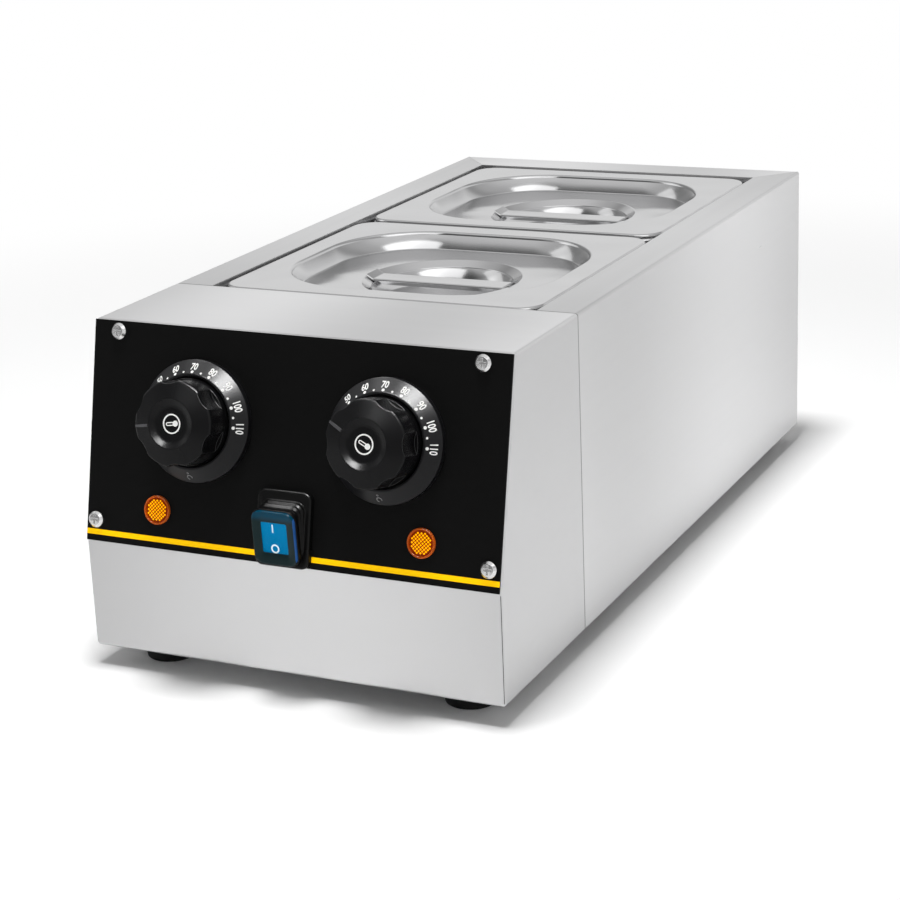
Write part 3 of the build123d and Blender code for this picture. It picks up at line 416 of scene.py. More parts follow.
seam_y = (front_strip - middle_y) * mm
across = (45.0, 900.0, 2600.0)
along = (2600.0, 45.0, 2600.0)
casing_sheet = dict(color=(0.7, 0.7, 0.705), roughness=0.3, metallic=1.0,
                    grain_height=0.000004, round_edges=0.0005)
# Painted sheen on the steel sheets: light and dark stripes, and on the shell the level faces
# painted lighter than the upright ones.
shell_painted_bands = (((17, 0, 0), 1.3, 0.13, 0.92), ((33, 0, 0), 3.35, 0.17, 1.2))
side_painted_bands = (((0, 18, 0), -0.1, 0.1, 1.0), ((0, 16, 0), 0.8, 0.08, 1.0))
# Painted shadow of the seam: the front housing darkens just before its rear edge, where it
# meets the side panels.
painted_seam_fade = ((0, 1, 0), seam_y - 0.0009, seam_y - 0.0003, (0.1, 0.1, 0.1))
# Painted light on the rocker: lighter blue towards its top.
painted_rocker_light = ((0, 0, 1), 0.074, 0.09, (0.0, 0.2, 0.42))
# Painted reflection and light on the window: its top slope turns dark teal and its right side
# bright blue.
painted_window_light = (((0, 0, 1), 0.089, 0.0925, (0.0, 0.045, 0.085)),
                ((1, 0, 0), 0.0105, 0.0109, (0.02, 0.1, 0.34)))

# edge_light makes convex edges lighter: partly wear, partly a painted highlight, as along the
# knobs' scallop edges.
looks = {
    "casing_steel": dict(casing_sheet, grain=across, painted_bands=shell_painted_bands),
    "front_steel": dict(casing_sheet, grain=across, painted_bands=shell_painted_bands, painted_fades=(painted_seam_fade,)),
    "side_steel": dict(casing_sheet, grain=along, painted_bands=side_painted_bands),
    "pan_steel": dict(color=(0.56, 0.56, 0.565), roughness=0.15, metallic=1.0,
                      grain=(300, 300, 300), grain_height=0.000002, uneven=0.05,
                      uneven_scale=22.0, bump_scale=36.0, bump_height=0.0008,
                      bump_detail=0.0),
    "well_steel": dict(color=(0.62, 0.62, 0.62), roughness=0.36, metallic=1.0,
                       grain=(500, 500, 500), grain_height=0.000004),
    "zinc_steel": dict(color=(0.7, 0.7, 0.7), roughness=0.24, metallic=1.0,
                       round_edges=0.0003, bump_scale=900.0, bump_height=0.00002,
                       edge_light=0.2),
    "fascia_black": dict(color=(0.005, 0.005, 0.005), roughness=0.5, bump_scale=1600.0,
                         bump_height=0.00003, edge_light=0.01, specular=0.06),
    "dial_black": dict(color=(0.007, 0.007, 0.008), roughness=0.3, bump_scale=1500.0,
                       bump_height=0.00001, round_edges=0.0003, edge_light=0.01,
                       specular=0.18),
    "knob_black": dict(color=(0.004, 0.004, 0.0045), roughness=0.26, bump_scale=1800.0,
                       bump_height=0.00002, round_edges=0.0006, edge_light=0.05,
                       specular=0.14),
    "lens_amber": dict(color=(0.52, 0.085, 0.0), roughness=0.22, emission=0.12,
                       bump_scale=700.0, bump_height=0.00001, edge_light=0.1,
                       specular=0.15),
    "lens_deep": dict(color=(0.26, 0.03, 0.0), roughness=0.3, emission=0.2,
                      bump_scale=700.0, bump_height=0.00001, specular=0.1),
    "lens_glow": dict(color=(1.0, 0.42, 0.0), roughness=0.3, emission=1.0,
                      bump_scale=700.0, bump_height=0.00001, specular=0.08),
    # The rocker has a painted glow and painted light towards its top.
    "rocker_blue": dict(color=(0.0, 0.17, 0.36), roughness=0.3, emission=0.38,
                        bump_scale=600.0, bump_height=0.00001, round_edges=0.0003,
                        specular=0.05, painted_fades=(painted_rocker_light,)),
    # The window has a painted glow, and painted reflection and light on its top and right
    # side.
    "window_smoke": dict(color=(0.008, 0.022, 0.024), roughness=0.2, emission=0.12,
                         bump_scale=500.0, bump_height=0.00001, round_edges=0.0003,
                         edge_light=0.04, specular=0.1, painted_fades=painted_window_light),
    "boot_rubber": dict(color=(0.004, 0.004, 0.004), roughness=0.27, bump_scale=2000.0,
                        bump_height=0.00001, edge_light=0.02, specular=0.13,
                        round_edges=0.0003),
    "foot_rubber": dict(color=(0.004, 0.004, 0.004), roughness=0.6, bump_scale=1500.0,
                        bump_height=0.00004, edge_light=0.01, specular=0.3),
    "switch_plastic": dict(color=(0.02, 0.02, 0.02), roughness=0.45, bump_scale=1500.0,
                           bump_height=0.00002),
    "thermostat_plastic": dict(color=(0.06, 0.06, 0.065), roughness=0.4,
                               bump_scale=1500.0, bump_height=0.00002),
    "lamp_plastic": dict(color=(0.75, 0.72, 0.66), roughness=0.45, bump_scale=1200.0,
                         bump_height=0.00002),
    "plate_aluminium": dict(color=(0.8, 0.8, 0.81), roughness=0.34, metallic=1.0,
                            grain=(60, 2000, 2000), grain_height=0.000006),
    "tube_steel": dict(color=(0.3, 0.26, 0.22), roughness=0.4, metallic=1.0,
                       bump_scale=800.0, bump_height=0.00003),
    "board_fibre": dict(color=(0.75, 0.72, 0.64), roughness=0.9, bump_scale=500.0,
                        bump_height=0.0002),
    "capillary_copper": dict(color=(0.85, 0.45, 0.28), roughness=0.28, metallic=1.0,
                             bump_scale=900.0, bump_height=0.00001),
    "gland_nylon": dict(color=(0.014, 0.014, 0.015), roughness=0.4, bump_scale=1300.0,
                        bump_height=0.00003, round_edges=0.0004, edge_light=0.03),
    "terminal_nylon": dict(color=(0.8, 0.79, 0.74), roughness=0.45, bump_scale=1200.0,
                           bump_height=0.00002),
    # Painted glow on the white print.
    "print_white": dict(color=(0.86, 0.86, 0.84), roughness=0.5, bump_scale=2500.0,
                        bump_height=0.00001, emission=0.2),
    # The °C is the same white print, painted grey as if in shade.
    "print_grey": dict(color=(0.2, 0.2, 0.2), roughness=0.5, bump_scale=2500.0,
                       bump_height=0.00001),
    # Painted highlight on the lit top of the knobs' pointer ridges.
    "pointer_grey": dict(color=(0.065, 0.065, 0.07), roughness=0.35, bump_scale=2500.0,
                         bump_height=0.00001),
    # Painted glow on the yellow print.
    "print_yellow": dict(color=(1.0, 0.57, 0.0), roughness=0.45, bump_scale=2500.0,
                         bump_height=0.00001, emission=0.45, specular=0.1),
    # Painted glow on the white marks.
    "mark_white": dict(color=(0.9, 0.93, 0.95), roughness=0.4, bump_scale=2500.0,
                       bump_height=0.00001, emission=0.35),
    "pane_clear": dict(color=(0.86, 0.95, 0.98), roughness=0.04, transmission=1.0,
                       ior=1.04, bump_scale=80.0, bump_height=0.00001),
}
finishes = {name: finish_of(name, **look) for name, look in looks.items()}

# Sheets of the casing whose finish isn't their slot's own
sheet_finishes = {"front_housing": "front_steel", "left_side_panel": "side_steel",
                  "right_side_panel": "side_steel"}

# Finishes that take the small highlight lights
dull_plastics = [finishes[name] for name in (
    "dial_black", "knob_black", "boot_rubber", "window_smoke", "lens_amber", "gland_nylon")]


def dress_nodes():
    """Gives each CAD node the finish of its slot, apart from three of the sheets."""
    slots = {row["node"]: row["material_slot"] for row in frame["record"]["subparts"]}
    for node, obj in frame["nodes"].items():
        obj.data.materials.clear()
        obj.data.materials.append(finishes[sheet_finishes.get(node, slots[node])])


# Building blocks of the meshes

def add_piece(name, points, faces, finish, place, body, slot, replaces=(), angle=35.0):
    """Mesh from local points in millimetres, riding on a body where one is named."""
    mesh = bpy.data.meshes.new(name)
    mesh.from_pydata([place @ Vector(point) for point in points], [], faces)
    work = bmesh.new()
    work.from_mesh(mesh)
    bmesh.ops.remove_doubles(work, verts=work.verts, dist=merge_distance * mm)
    bmesh.ops.recalc_face_normals(work, faces=work.faces)
    work.to_mesh(mesh)
    work.free()
    mesh.polygons.foreach_set("use_smooth", [True] * len(mesh.polygons))
    mesh.set_sharp_from_angle(angle=radians(angle))
    mesh.materials.append(finishes[finish])
    obj = bpy.data.objects.new(name, mesh)
    bpy.context.scene.collection.objects.link(obj)
    if body:
        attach(obj, body)
    if replaces:
        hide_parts(*replaces)
    return obj


def rounded_loop(length, width, corner, z, steps=10):
    """Points of a rounded rectangle, the same number for any size."""
    points = []
    for quarter, (sx, sy) in enumerate(((1, 1), (-1, 1), (-1, -1), (1, -1))):
        for k in range(steps + 1):
            angle = pi / 2 * (quarter + k / steps)
            points.append((sx * (length / 2 - corner) + corner * cos(angle),
                           sy * (width / 2 - corner) + corner * sin(angle), z))
    return points


def circle_loop(radius, z, steps=48):
    return [(radius * cos(2 * pi * k / steps), radius * sin(2 * pi * k / steps), z)
            for k in range(steps)]


def skin(loops, closed=False):
    """Points and faces of loops joined one to the next, round or with capped ends."""
    count = len(loops[0])
    points = [point for loop in loops for point in loop]
    pairs = list(zip(range(len(loops) - 1), range(1, len(loops))))
    if closed:
        pairs.append((len(loops) - 1, 0))
    faces = []
    for a, b in pairs:
        for k in range(count):
            m = (k + 1) % count
            faces.append((a * count + k, a * count + m, b * count + m, b * count + k))
    if not closed:
        faces.append(tuple(reversed(range(count))))
        faces.append(tuple((len(loops) - 1) * count + k for k in range(count)))
    return points, faces


def ring_shape(corners, steps=64):
    """Solid ring, turned from the (radius, height) corners of its section."""
    return skin([circle_loop(radius, z, steps) for radius, z in corners], closed=True)


def flat_ring(outer, inner, low, high, steps=64):
    """Solid ring with a square section between two radii and two heights."""
    return ring_shape([(outer, low), (outer, high), (inner, high), (inner, low)], steps)


def joined(*shapes):
    """Several (points, faces) shapes as one."""
    points, faces = [], []
    for shape_points, shape_faces in shapes:
        start = len(points)
        points += shape_points
        faces += [tuple(start + k for k in face) for face in shape_faces]
    return points, faces


def moved(shape, x, y, z=0.0):
    """A (points, faces) shape shifted by x, y and z."""
    return [(px + x, py + y, pz + z) for px, py, pz in shape[0]], shape[1]


def filleted(corners, steps=6, support=0.25):
    """Polyline through (x, y, radius) corners with its bends rounded, and a point close
    to each bend's ends, so that the flats between them stay flat in shading."""
    points = []
    last = len(corners) - 1
    for i, (x, y, *rounding) in enumerate(corners):
        if i in (0, last) or not rounding:
            points.append((x, y))
            continue
        radius = rounding[0]
        here = Vector((x, y))
        before = (Vector(corners[i - 1][:2]) - here).normalized()
        after = (Vector(corners[i + 1][:2]) - here).normalized()
        half = before.angle(after) / 2
        reach = radius / tan(half)
        centre = here + (before + after).normalized() * (radius / sin(half))
        start, end = here + before * reach, here + after * reach
        a0 = atan2(start.y - centre.y, start.x - centre.x)
        a1 = atan2(end.y - centre.y, end.x - centre.x)
        if a1 - a0 > pi:
            a1 -= 2 * pi
        if a0 - a1 > pi:
            a1 += 2 * pi
        points.append(tuple(start + before * support))
        for k in range(steps + 1):
            angle = a0 + (a1 - a0) * k / steps
            points.append((centre.x + radius * cos(angle), centre.y + radius * sin(angle)))
        points.append(tuple(end + after * support))
    return points


def box_shape(x0, x1, y0, y1, z0, z1):
    points = [(x, y, z) for x in (x0, x1) for y in (y0, y1) for z in (z0, z1)]
    faces = [(0, 1, 3, 2), (4, 6, 7, 5), (0, 4, 5, 1), (2, 3, 7, 6), (0, 2, 6, 4),
             (1, 5, 7, 3)]
    return points, faces


def evaluated_shape(name, data, dress=None):
    """Points and faces of a helper object as evaluated; the helper is removed."""
    carrier = bpy.data.objects.new(name, data)
    bpy.context.scene.collection.objects.link(carrier)
    if dress:
        dress(carrier)
    bpy.context.view_layer.update()
    mesh = bpy.data.meshes.new_from_object(
        carrier.evaluated_get(bpy.context.evaluated_depsgraph_get())
    )
    points = [tuple(vertex.co) for vertex in mesh.vertices]
    faces = [tuple(face.vertices) for face in mesh.polygons]
    bpy.data.objects.remove(carrier)
    bpy.data.meshes.remove(mesh)
    return points, faces


# Lids and handles

def offset_loops(profile, outline):
    """Loops of an (outward offset, height) profile round a rounded rectangle."""
    length, width, corner = outline
    return [rounded_loop(length + 2 * d, width + 2 * d, corner + d, z, lid_steps)
            for d, z in profile]


def make_lid(end):
    """Pressed lid, drawn as one closed sheet with soft bends."""
    pit_outline = (2 * pit_radius, 2 * pit_radius, pit_radius)
    edge = filleted([(0, -lid_rim), (0, 0, 1.4), (-6, 0)])
    wall = filleted([(2.0, 0), (0, 0, 1.8), (-dish_lean, dish_floor, 2.6),
                     (-8.5, dish_floor)])
    bowl = filleted([(2.0, dish_floor), (0, dish_floor, 1.0), (-bevel_width, bevel_foot, 0.8),
                     (-bevel_width - pit_lean, pit_floor, 2.5), (-14.0, pit_floor)])
    top = offset_loops(edge, lid_outline)
    top += offset_loops(wall, dish_outline)
    top += offset_loops(bowl, pit_outline)
    under_dish = dish_floor - lid_sheet
    under_pit = pit_floor - lid_sheet
    under = offset_loops([(-lid_sheet, -lid_rim), (-lid_sheet, -lid_sheet)], lid_outline)
    under += offset_loops([(1.2, -lid_sheet), (-lid_sheet, -2 * lid_sheet),
                           (-dish_lean - lid_sheet, under_dish), (-8.5, under_dish)],
                          dish_outline)
    under += offset_loops([(1.5, under_dish), (-0.4, under_dish), (-5.6, bevel_foot - 0.7),
                           (-7.9, under_pit), (-14.0, under_pit)], pit_outline)
    points, faces = skin(list(reversed(top)) + under)
    add_piece(f"lid_{end}_sheet", points, faces, "pan_steel", pan_place(end), f"{end}_lid",
              "pan_steel", [f"lid_{end}"], angle=50)


def make_handle(end):
    """Strap with folded edges over the pit, its tabs welded to the bevel."""
    reach = pit_radius - bevel_width
    tab_end = reach + strap_tab
    level = bevel_foot + strap_gap + strap_sheet
    rise = (dish_floor - bevel_foot) / bevel_width
    run = filleted([(-tab_end, level + strap_tab * rise), (-reach, level, 1.2),
                    (reach, level, 1.2), (tab_end, level + strap_tab * rise)], steps=4)
    foot = -strap_curl - strap_sheet
    section = filleted([(-strap_half_width, foot), (-strap_half_width, 0, 0.9),
                        (strap_half_width, 0, 0.9), (strap_half_width, foot)],
                       steps=5, support=0.15)
    stations = [(x, z, 0.0) for x, z in run]
    for side in (-1, 1):
        stations.append((side * fold_end, level, 1.0))
        stations.append((side * (fold_end + fold_fade), level, 0.0))
    narrowing = (strap_half_width - strap_sheet) / strap_half_width
    loops = []
    for x, z, folded in sorted(stations):
        lowest = -strap_sheet - strap_curl * folded
        outer = [(x, y, z + max(height, lowest)) for y, height in section]
        inner = [(x, y * narrowing, z - strap_sheet) for y, height in section[3:-3]]
        loops.append(outer + list(reversed(inner)))
    weld = skin([circle_loop(weld_radius, z, 24) for z in (0, weld_height)])
    weld_x, weld_z = reach + strap_tab / 2, bevel_foot + strap_tab / 2 * rise - weld_sink
    welds = [moved(weld, side * weld_x, y, weld_z)
             for side in (-1, 1) for y in (-weld_y, weld_y)]
    points, faces = joined(skin(loops), *welds)
    add_piece(f"handle_{end}_strap", points, faces, "pan_steel", pan_place(end),
              f"{end}_lid", "pan_steel", [f"handle_{end}"], angle=50)


# Printed panel, and painted shadows along the corner seams

def make_panel_print():
    """Yellow line across the panel, above its lower edge."""
    line = box_shape(-stripe_half_width, stripe_half_width, -stripe_drop - stripe_height,
                     -stripe_drop, fascia_sheet, fascia_sheet + print_thickness)
    add_piece("panel_line", *line, "print_yellow", panel_place(0, 0), "casing",
              "fascia_black")


def make_corner_lines():
    """Dark line along the bend at both ends of the lower front panel: a painted shadow of the
    seam between the front and side sheets.
    """
    knee = panel_place(0, fascia_length).translation / mm
    proud, sunk = bend_radius + 0.02, bend_radius - 0.05
    first, *_, last = corner_shadow_angles
    corners = [(proud, angle) for angle in corner_shadow_angles] + [(sunk, last), (sunk, first)]
    section = [(radius * cos(radians(angle)), radius * sin(radians(angle)))
               for radius, angle in corners]
    for name, side in hands.items():
        x = side * (half_width - bend_radius)
        y = knee.y + bend_radius
        line = skin([[(x + side * out, y - forward, z) for out, forward in section]
                     for z in (corner_shadow_low, knee.z - 1.0)])
        add_piece(f"painted_corner_shadow_{name}", *line, "fascia_black", Matrix.Scale(mm, 4),
                  "casing", "fascia_black")


# Dials

cone_inner = (22.6, 8.7)        # radius and height where the printed cone begins
cone_outer = (29.1, 3.7)
number_radius = 25.8
dot_radius = 23.5
print_lift = 0.07
scale_low, scale_high = 30, 110
scale_step = 2.3                # degrees of turn for each degree of heat
scale_middle = 70               # the number at the top of the dial
large_dot, small_dot = 0.78, 0.56
number_size, number_weight, number_squeeze = 5.1, 0.13, 0.72
unit_size, unit_weight = 3.9, 0.04
unit_angle, unit_turn = 181.5, radians(120)
cone_lean = cos(atan2(cone_inner[1] - cone_outer[1], cone_outer[0] - cone_inner[0]))


def cone_point(radius, angle):
    """Point just over a dial's cone: angle is in degrees, clockwise from the top."""
    run = (radius - cone_inner[0]) / (cone_outer[0] - cone_inner[0])
    height = cone_inner[1] + (cone_outer[1] - cone_inner[1]) * max(run, -0.05) + print_lift
    turn = radians(90 - angle)
    return (radius * cos(turn), radius * sin(turn), height)


def text_shape(words, size, weight):
    """Flat mesh of a short text, its middle at the origin, its strokes made bolder."""
    curve = bpy.data.curves.new("number", "FONT")
    curve.body = words
    curve.size = size
    curve.offset = weight
    curve.align_x = "CENTER"
    curve.align_y = "CENTER"
    curve.resolution_u = 4
    curve.fill_mode = "FRONT"
    shape = evaluated_shape("number", curve)
    bpy.data.curves.remove(curve)
    return shape


def bent_text(shape, angle, squeeze=1.0, turn=0.0):
    """A flat text laid on the cone at an angle, after a turn in its own plane."""
    points = []
    for x, y, z in shape[0]:
        side, up = x * cos(turn) - y * sin(turn), x * sin(turn) + y * cos(turn)
        points.append(cone_point(number_radius + up * cone_lean,
                                 angle + degrees(squeeze * side / number_radius)))
    return points, shape[1]


def make_dial_print(name, side):
    """Scale of a dial: a dot for each five degrees, a number for each ten, and °C."""
    shapes = []
    for value in range(scale_low, scale_high + 1, 5):
        angle = (value - scale_middle) * scale_step
        size = large_dot if value % 10 == 0 else small_dot
        ring = []
        for k in range(16):
            turn = 2 * pi * k / 16
            ring.append(cone_point(dot_radius + cone_lean * size * sin(turn),
                                   angle + degrees(size * cos(turn) / dot_radius)))
        shapes.append((ring, [tuple(range(16))]))
    for value in range(scale_low, scale_high + 1, 10):
        number = text_shape(str(value), number_size, number_weight)
        shapes.append(bent_text(number, (value - scale_middle) * scale_step,
                                squeeze=number_squeeze))
    place = panel_place(side * control_x, dial_drop)
    add_piece(f"dial_{name}_print", *joined(*shapes), "print_white", place, "casing",
              "dial_black")
    # The °C is printed in painted shade.
    unit = bent_text(text_shape("°C", unit_size, unit_weight), unit_angle, turn=unit_turn)
    add_piece(f"dial_{name}_unit", *unit, "print_grey", place, "casing", "dial_black")


# Knobs: heights are over the panel, in the bowl's floor and along the crowned face

icon_low, icon_high = 24.03, 24.1
icon_outer, icon_inner = 4.7, 4.0
bulb_radius = 1.4
bulb_y = -1.95
stem_outer, stem_inner = (1.75, 4.4), (0.85, 3.5)       # width and length
stem_y = 0.85
# Half width of the pointer, distance from the knob's axis, and height of its top
pointer_line = ((0.62, 12.3, 25.88), (0.62, 16.6, 24.83), (0.45, 19.9, 24.03))
pointer_depth = 0.5


def knob_place(name, side):
    """Matrix of a knob's frame: its y points along the pointer."""
    turn = Matrix.Rotation(radians(-pointer_angles[name]), 4, "Z")
    return panel_place(side * control_x, dial_drop) @ turn


def make_knob_icon(name, side):
    """White ring with a small thermometer in the knob's bowl, its stem to the pointer."""
    ring = flat_ring(icon_outer, icon_inner, icon_low, icon_high)
    bulb = skin([circle_loop(bulb_radius, z, 32) for z in (icon_low, icon_high)])
    stem = skin([rounded_loop(wide, long, wide / 2 - 0.01, z, 6)
                 for (wide, long), z in ((stem_outer, icon_low), (stem_outer, icon_high),
                                         (stem_inner, icon_high), (stem_inner, icon_low))],
                closed=True)
    points, faces = joined(ring, moved(bulb, 0, bulb_y), moved(stem, 0, stem_y))
    add_piece(f"knob_{name}_icon", points, faces, "print_white", knob_place(name, side),
              f"{name}_knob", "knob_black")


def make_knob_pointer(name, side):
    """Grey line on the knob's face, from the bowl's edge out to the rim: a painted highlight
    on the top of the pointer's ridge.
    """
    line = skin([[(-half, y, z - pointer_depth), (half, y, z - pointer_depth), (half, y, z),
                  (-half, y, z)] for half, y, z in pointer_line])
    add_piece(f"knob_{name}_pointer", *line, "pointer_grey", knob_place(name, side),
              f"{name}_knob", "knob_black")


# Lamps: sections are (radius, height over the panel), some corners with a rounding

lens_rim = ((7.0, 0.8), (7.0, 2.2, 0.45), (6.2, 2.2, 0.3), (6.05, 1.4))
lens_rim_foot = (6.0, 0.8)
lens_dome = ((5.4, 0.8), (5.4, 1.45), (5.25, 1.6), (4.0, 1.71), (2.3, 1.8), (0.8, 1.83))
groove_outer, groove_inner = 6.05, 5.35
groove_low, groove_high = 0.9, 1.3
facet_rows = 12
facet_sizes = {"Spacing": 1.28, "Radius": 5.3, "Size": 0.58, "Height": 0.3}
facet_top = 0.62                # share of a facet's foot that its flat top takes
facet_level = 1.82              # of the facets' feet at the lens's middle
facet_sag = 0.15                # how far they have sunk at the radius below
facet_sag_radius = 4.9


def facet_field():
    """Geometry nodes that set small blunt pyramids on a slanted grid, inside a circle."""
    tree = bpy.data.node_groups.new("lens_facets", "GeometryNodeTree")
    ids = {}
    for label, value in facet_sizes.items():
        socket = tree.interface.new_socket(label, in_out="INPUT",
                                           socket_type="NodeSocketFloat")
        socket.default_value = value
        ids[label] = socket.identifier
    surface = tree.interface.new_socket("Finish", in_out="INPUT",
                                        socket_type="NodeSocketMaterial")
    ids["Finish"] = surface.identifier
    tree.interface.new_socket("Geometry", in_out="OUTPUT",
                              socket_type="NodeSocketGeometry")
    source = tree.nodes.new("NodeGroupInput")
    target = tree.nodes.new("NodeGroupOutput")
    grid = tree.nodes.new("GeometryNodeMeshGrid")
    span = arithmetic(tree, "MULTIPLY", source.outputs["Spacing"], facet_rows - 1.0)
    for axis in "XY":
        grid.inputs[f"Vertices {axis}"].default_value = facet_rows
        link(tree, span, grid.inputs[f"Size {axis}"])
    turn = tree.nodes.new("GeometryNodeTransform")
    turn.inputs["Rotation"].default_value = (0, 0, pi / 4)
    link(tree, grid.outputs["Mesh"], turn.inputs["Geometry"])
    position = tree.nodes.new("GeometryNodeInputPosition")
    length = tree.nodes.new("ShaderNodeVectorMath")
    length.operation = "LENGTH"
    link(tree, position.outputs[0], length.inputs[0])
    inside = arithmetic(tree, "LESS_THAN", length.outputs["Value"],
                        source.outputs["Radius"])
    cone = tree.nodes.new("GeometryNodeMeshCone")
    cone.inputs["Vertices"].default_value = 4
    link(tree, arithmetic(tree, "MULTIPLY", source.outputs["Size"], facet_top),
         cone.inputs["Radius Top"])
    link(tree, source.outputs["Size"], cone.inputs["Radius Bottom"])
    link(tree, source.outputs["Height"], cone.inputs["Depth"])
    spread = tree.nodes.new("GeometryNodeInstanceOnPoints")
    link(tree, turn.outputs[0], spread.inputs["Points"])
    link(tree, inside, spread.inputs["Selection"])
    link(tree, cone.outputs["Mesh"], spread.inputs["Instance"])
    real = tree.nodes.new("GeometryNodeRealizeInstances")
    link(tree, spread.outputs[0], real.inputs[0])
    paint = tree.nodes.new("GeometryNodeSetMaterial")
    link(tree, real.outputs[0], paint.inputs["Geometry"])
    link(tree, source.outputs["Finish"], paint.inputs["Material"])
    link(tree, paint.outputs[0], target.inputs[0])
    return tree, ids


facet_tree, facet_ids = facet_field()


def add_facets(carrier):
    """Gives a helper object the facets' modifier with this lens's sizes."""
    modifier = carrier.modifiers.new("facets", "NODES")
    modifier.node_group = facet_tree
    for label, value in facet_sizes.items():
        modifier[facet_ids[label]] = value
    modifier[facet_ids["Finish"]] = finishes["lens_glow"]


def make_lens(name, side):
    """Amber lens: rounded rim, dark groove and a low dome covered with small facets."""
    place = panel_place(side * lamp_x, lamp_drop)
    rim = ring_shape(filleted(lens_rim, support=0.05) + [lens_rim_foot])
    add_piece(f"lens_{name}_rim", *rim, "lens_amber", place, "casing", "lens_amber",
              [f"lens_{name}"])
    groove = flat_ring(groove_outer, groove_inner, groove_low, groove_high)
    dome = skin([circle_loop(radius, z, 64) for radius, z in lens_dome])
    add_piece(f"lens_{name}_dome", *joined(groove, dome), "lens_deep", place, "casing",
              "lens_amber")
    flat, faces = evaluated_shape("facets", bpy.data.meshes.new("facets"), add_facets)
    points = [(x, y, z + facet_level - facet_sag * (x * x + y * y) / facet_sag_radius ** 2)
              for x, y, z in flat]
    add_piece(f"lens_{name}_facets", points, faces, "lens_glow", place, "casing",
              "lens_amber", angle=10)


# Switch: outlines are (length, width, corner radius). Sections are (outward offset from
# the outline, height), some corners with a rounding. The flange's heights are over the
# panel, and all others are over the pivot.

window_outline = (22.4, 26.3, 4.6)
window_edge = ((0, 11.7), (0, 14.2, 0.5), (-0.8, 14.2))
# The window's sloped face, its hole and its inside: (length, width, corner radius, height)
window_frame = ((20.6, 25.1, 4.0, 14.15), (20.2, 24.7, 3.8, 14.1), (13.9, 15.7, 0.9, 13.62),
                (13.6, 15.3, 0.8, 13.5), (13.6, 15.3, 0.8, 13.0), (14.5, 16.3, 0.3, 13.0),
                (14.5, 16.3, 0.3, 11.7))
pane_outline = (13.7, 15.4, 0.8)
pane_low, pane_high = 13.02, 13.3
mark_low, mark_high = 12.82, 12.87
bar_mark = (-1.25, -0.58, 2.5, 6.5)         # x from and to, y from and to
ring_mark = (2.15, 1.4)                     # outer and inner radius
ring_mark_place = (-0.4, -5.5)
ring_mark_stretch = 1.05
flange_outline = (28.4, 36.0, 4.0)
flange_edge = ((0, 0.8), (0, 4.2, 1.1), (-2.0, 4.2))
flange_inside = ((-1.6, 2.7), (-1.6, 0.8))
least_corner = 0.6
bellows_low, bellows_high = 5.3, 10.4       # the folds turn with the rocker between these
bellows_folds = ((0.5, 5.8), (0.4, 5.9), (0.05, 6.7, 0.22), (-0.8, 7.4, 0.25),
                 (0.12, 8.2, 0.22), (-0.6, 9.2, 0.25), (0.6, 10.4, 0.4),
                 (0.6, 12.9, 0.25), (0.05, 12.9))
bellows_inside = ((0.05, 11.65), (-0.6, 11.65), (-0.6, 10.4), (-1.8, 9.2), (-1.1, 8.2),
                  (-2.0, 7.4), (-1.2, 6.6), (-0.8, 5.3), (-0.8, 4.35))


def rocker_place():
    """Matrix of the rocker's frame: the pivot at the origin, z out of the rocker."""
    return panel_place(0, switch_drop, -pivot_depth) @ Matrix.Rotation(rocker_tilt, 4, "X")


def make_switch_window():
    """Dark cap with a wide sloped frame, and the clear pane set in it."""
    length, width, corner = window_outline
    edge = filleted(window_edge, steps=5, support=0.08)
    loops = [rounded_loop(length + 2 * d, width + 2 * d, corner + d, z) for d, z in edge]
    loops += [rounded_loop(*loop) for loop in window_frame]
    points, faces = skin(loops, closed=True)
    add_piece("switch_window_frame", points, faces, "window_smoke", rocker_place(),
              "rocker", "window_smoke", ["switch_window"], angle=30)
    pane = skin([rounded_loop(*pane_outline, z, 4) for z in (pane_low, pane_high)])
    add_piece("switch_window_pane", *pane, "pane_clear", rocker_place(), "rocker",
              "window_smoke")


def make_rocker_marks():
    """I and O on the paddle."""
    bar = box_shape(*bar_mark, mark_low, mark_high)
    ring, faces = flat_ring(*ring_mark, mark_low, mark_high, steps=40)
    oval = [(x, y * ring_mark_stretch, z) for x, y, z in ring], faces
    add_piece("rocker_marks", *joined(bar, moved(oval, *ring_mark_place)), "mark_white",
              rocker_place(), "rocker", "rocker_blue")


def folded_loop(d, level):
    """Loop of the bellows, tilted further the closer it is to the rocker."""
    share = (level - bellows_low) / (bellows_high - bellows_low)
    turn = Matrix.Rotation(rocker_tilt * min(max(share, 0.0), 1.0), 4, "X")
    length, width, corner = window_outline
    return [tuple(turn @ Vector(point)) for point in rounded_loop(
        length + 2 * d, width + 2 * d, max(corner + d, least_corner), level)]


def flange_loop(d, rise):
    """Loop of the boot's flange, at a rise over the panel."""
    length, width, corner = flange_outline
    return rounded_loop(length + 2 * d, width + 2 * d, max(corner + d, least_corner),
                        rise + pivot_depth)


def make_switch_boot():
    """Rubber boot: flange, rounded bellows folds and the collar that holds the window."""
    folds = filleted(bellows_folds, steps=5, support=0.05)
    loops = [flange_loop(d, rise) for d, rise in filleted(flange_edge, support=0.1)]
    loops += [folded_loop(d, level) for d, level in (*folds, *bellows_inside)]
    loops += [flange_loop(d, rise) for d, rise in flange_inside]
    points, faces = skin(loops, closed=True)
    place = panel_place(0, switch_drop, -pivot_depth)
    boot = add_piece("switch_boot_bellows", points, faces, "boot_rubber", place, None,
                     "boot_rubber", ["switch_boot"], angle=40)
    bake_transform(boot)


# Studio, in metres

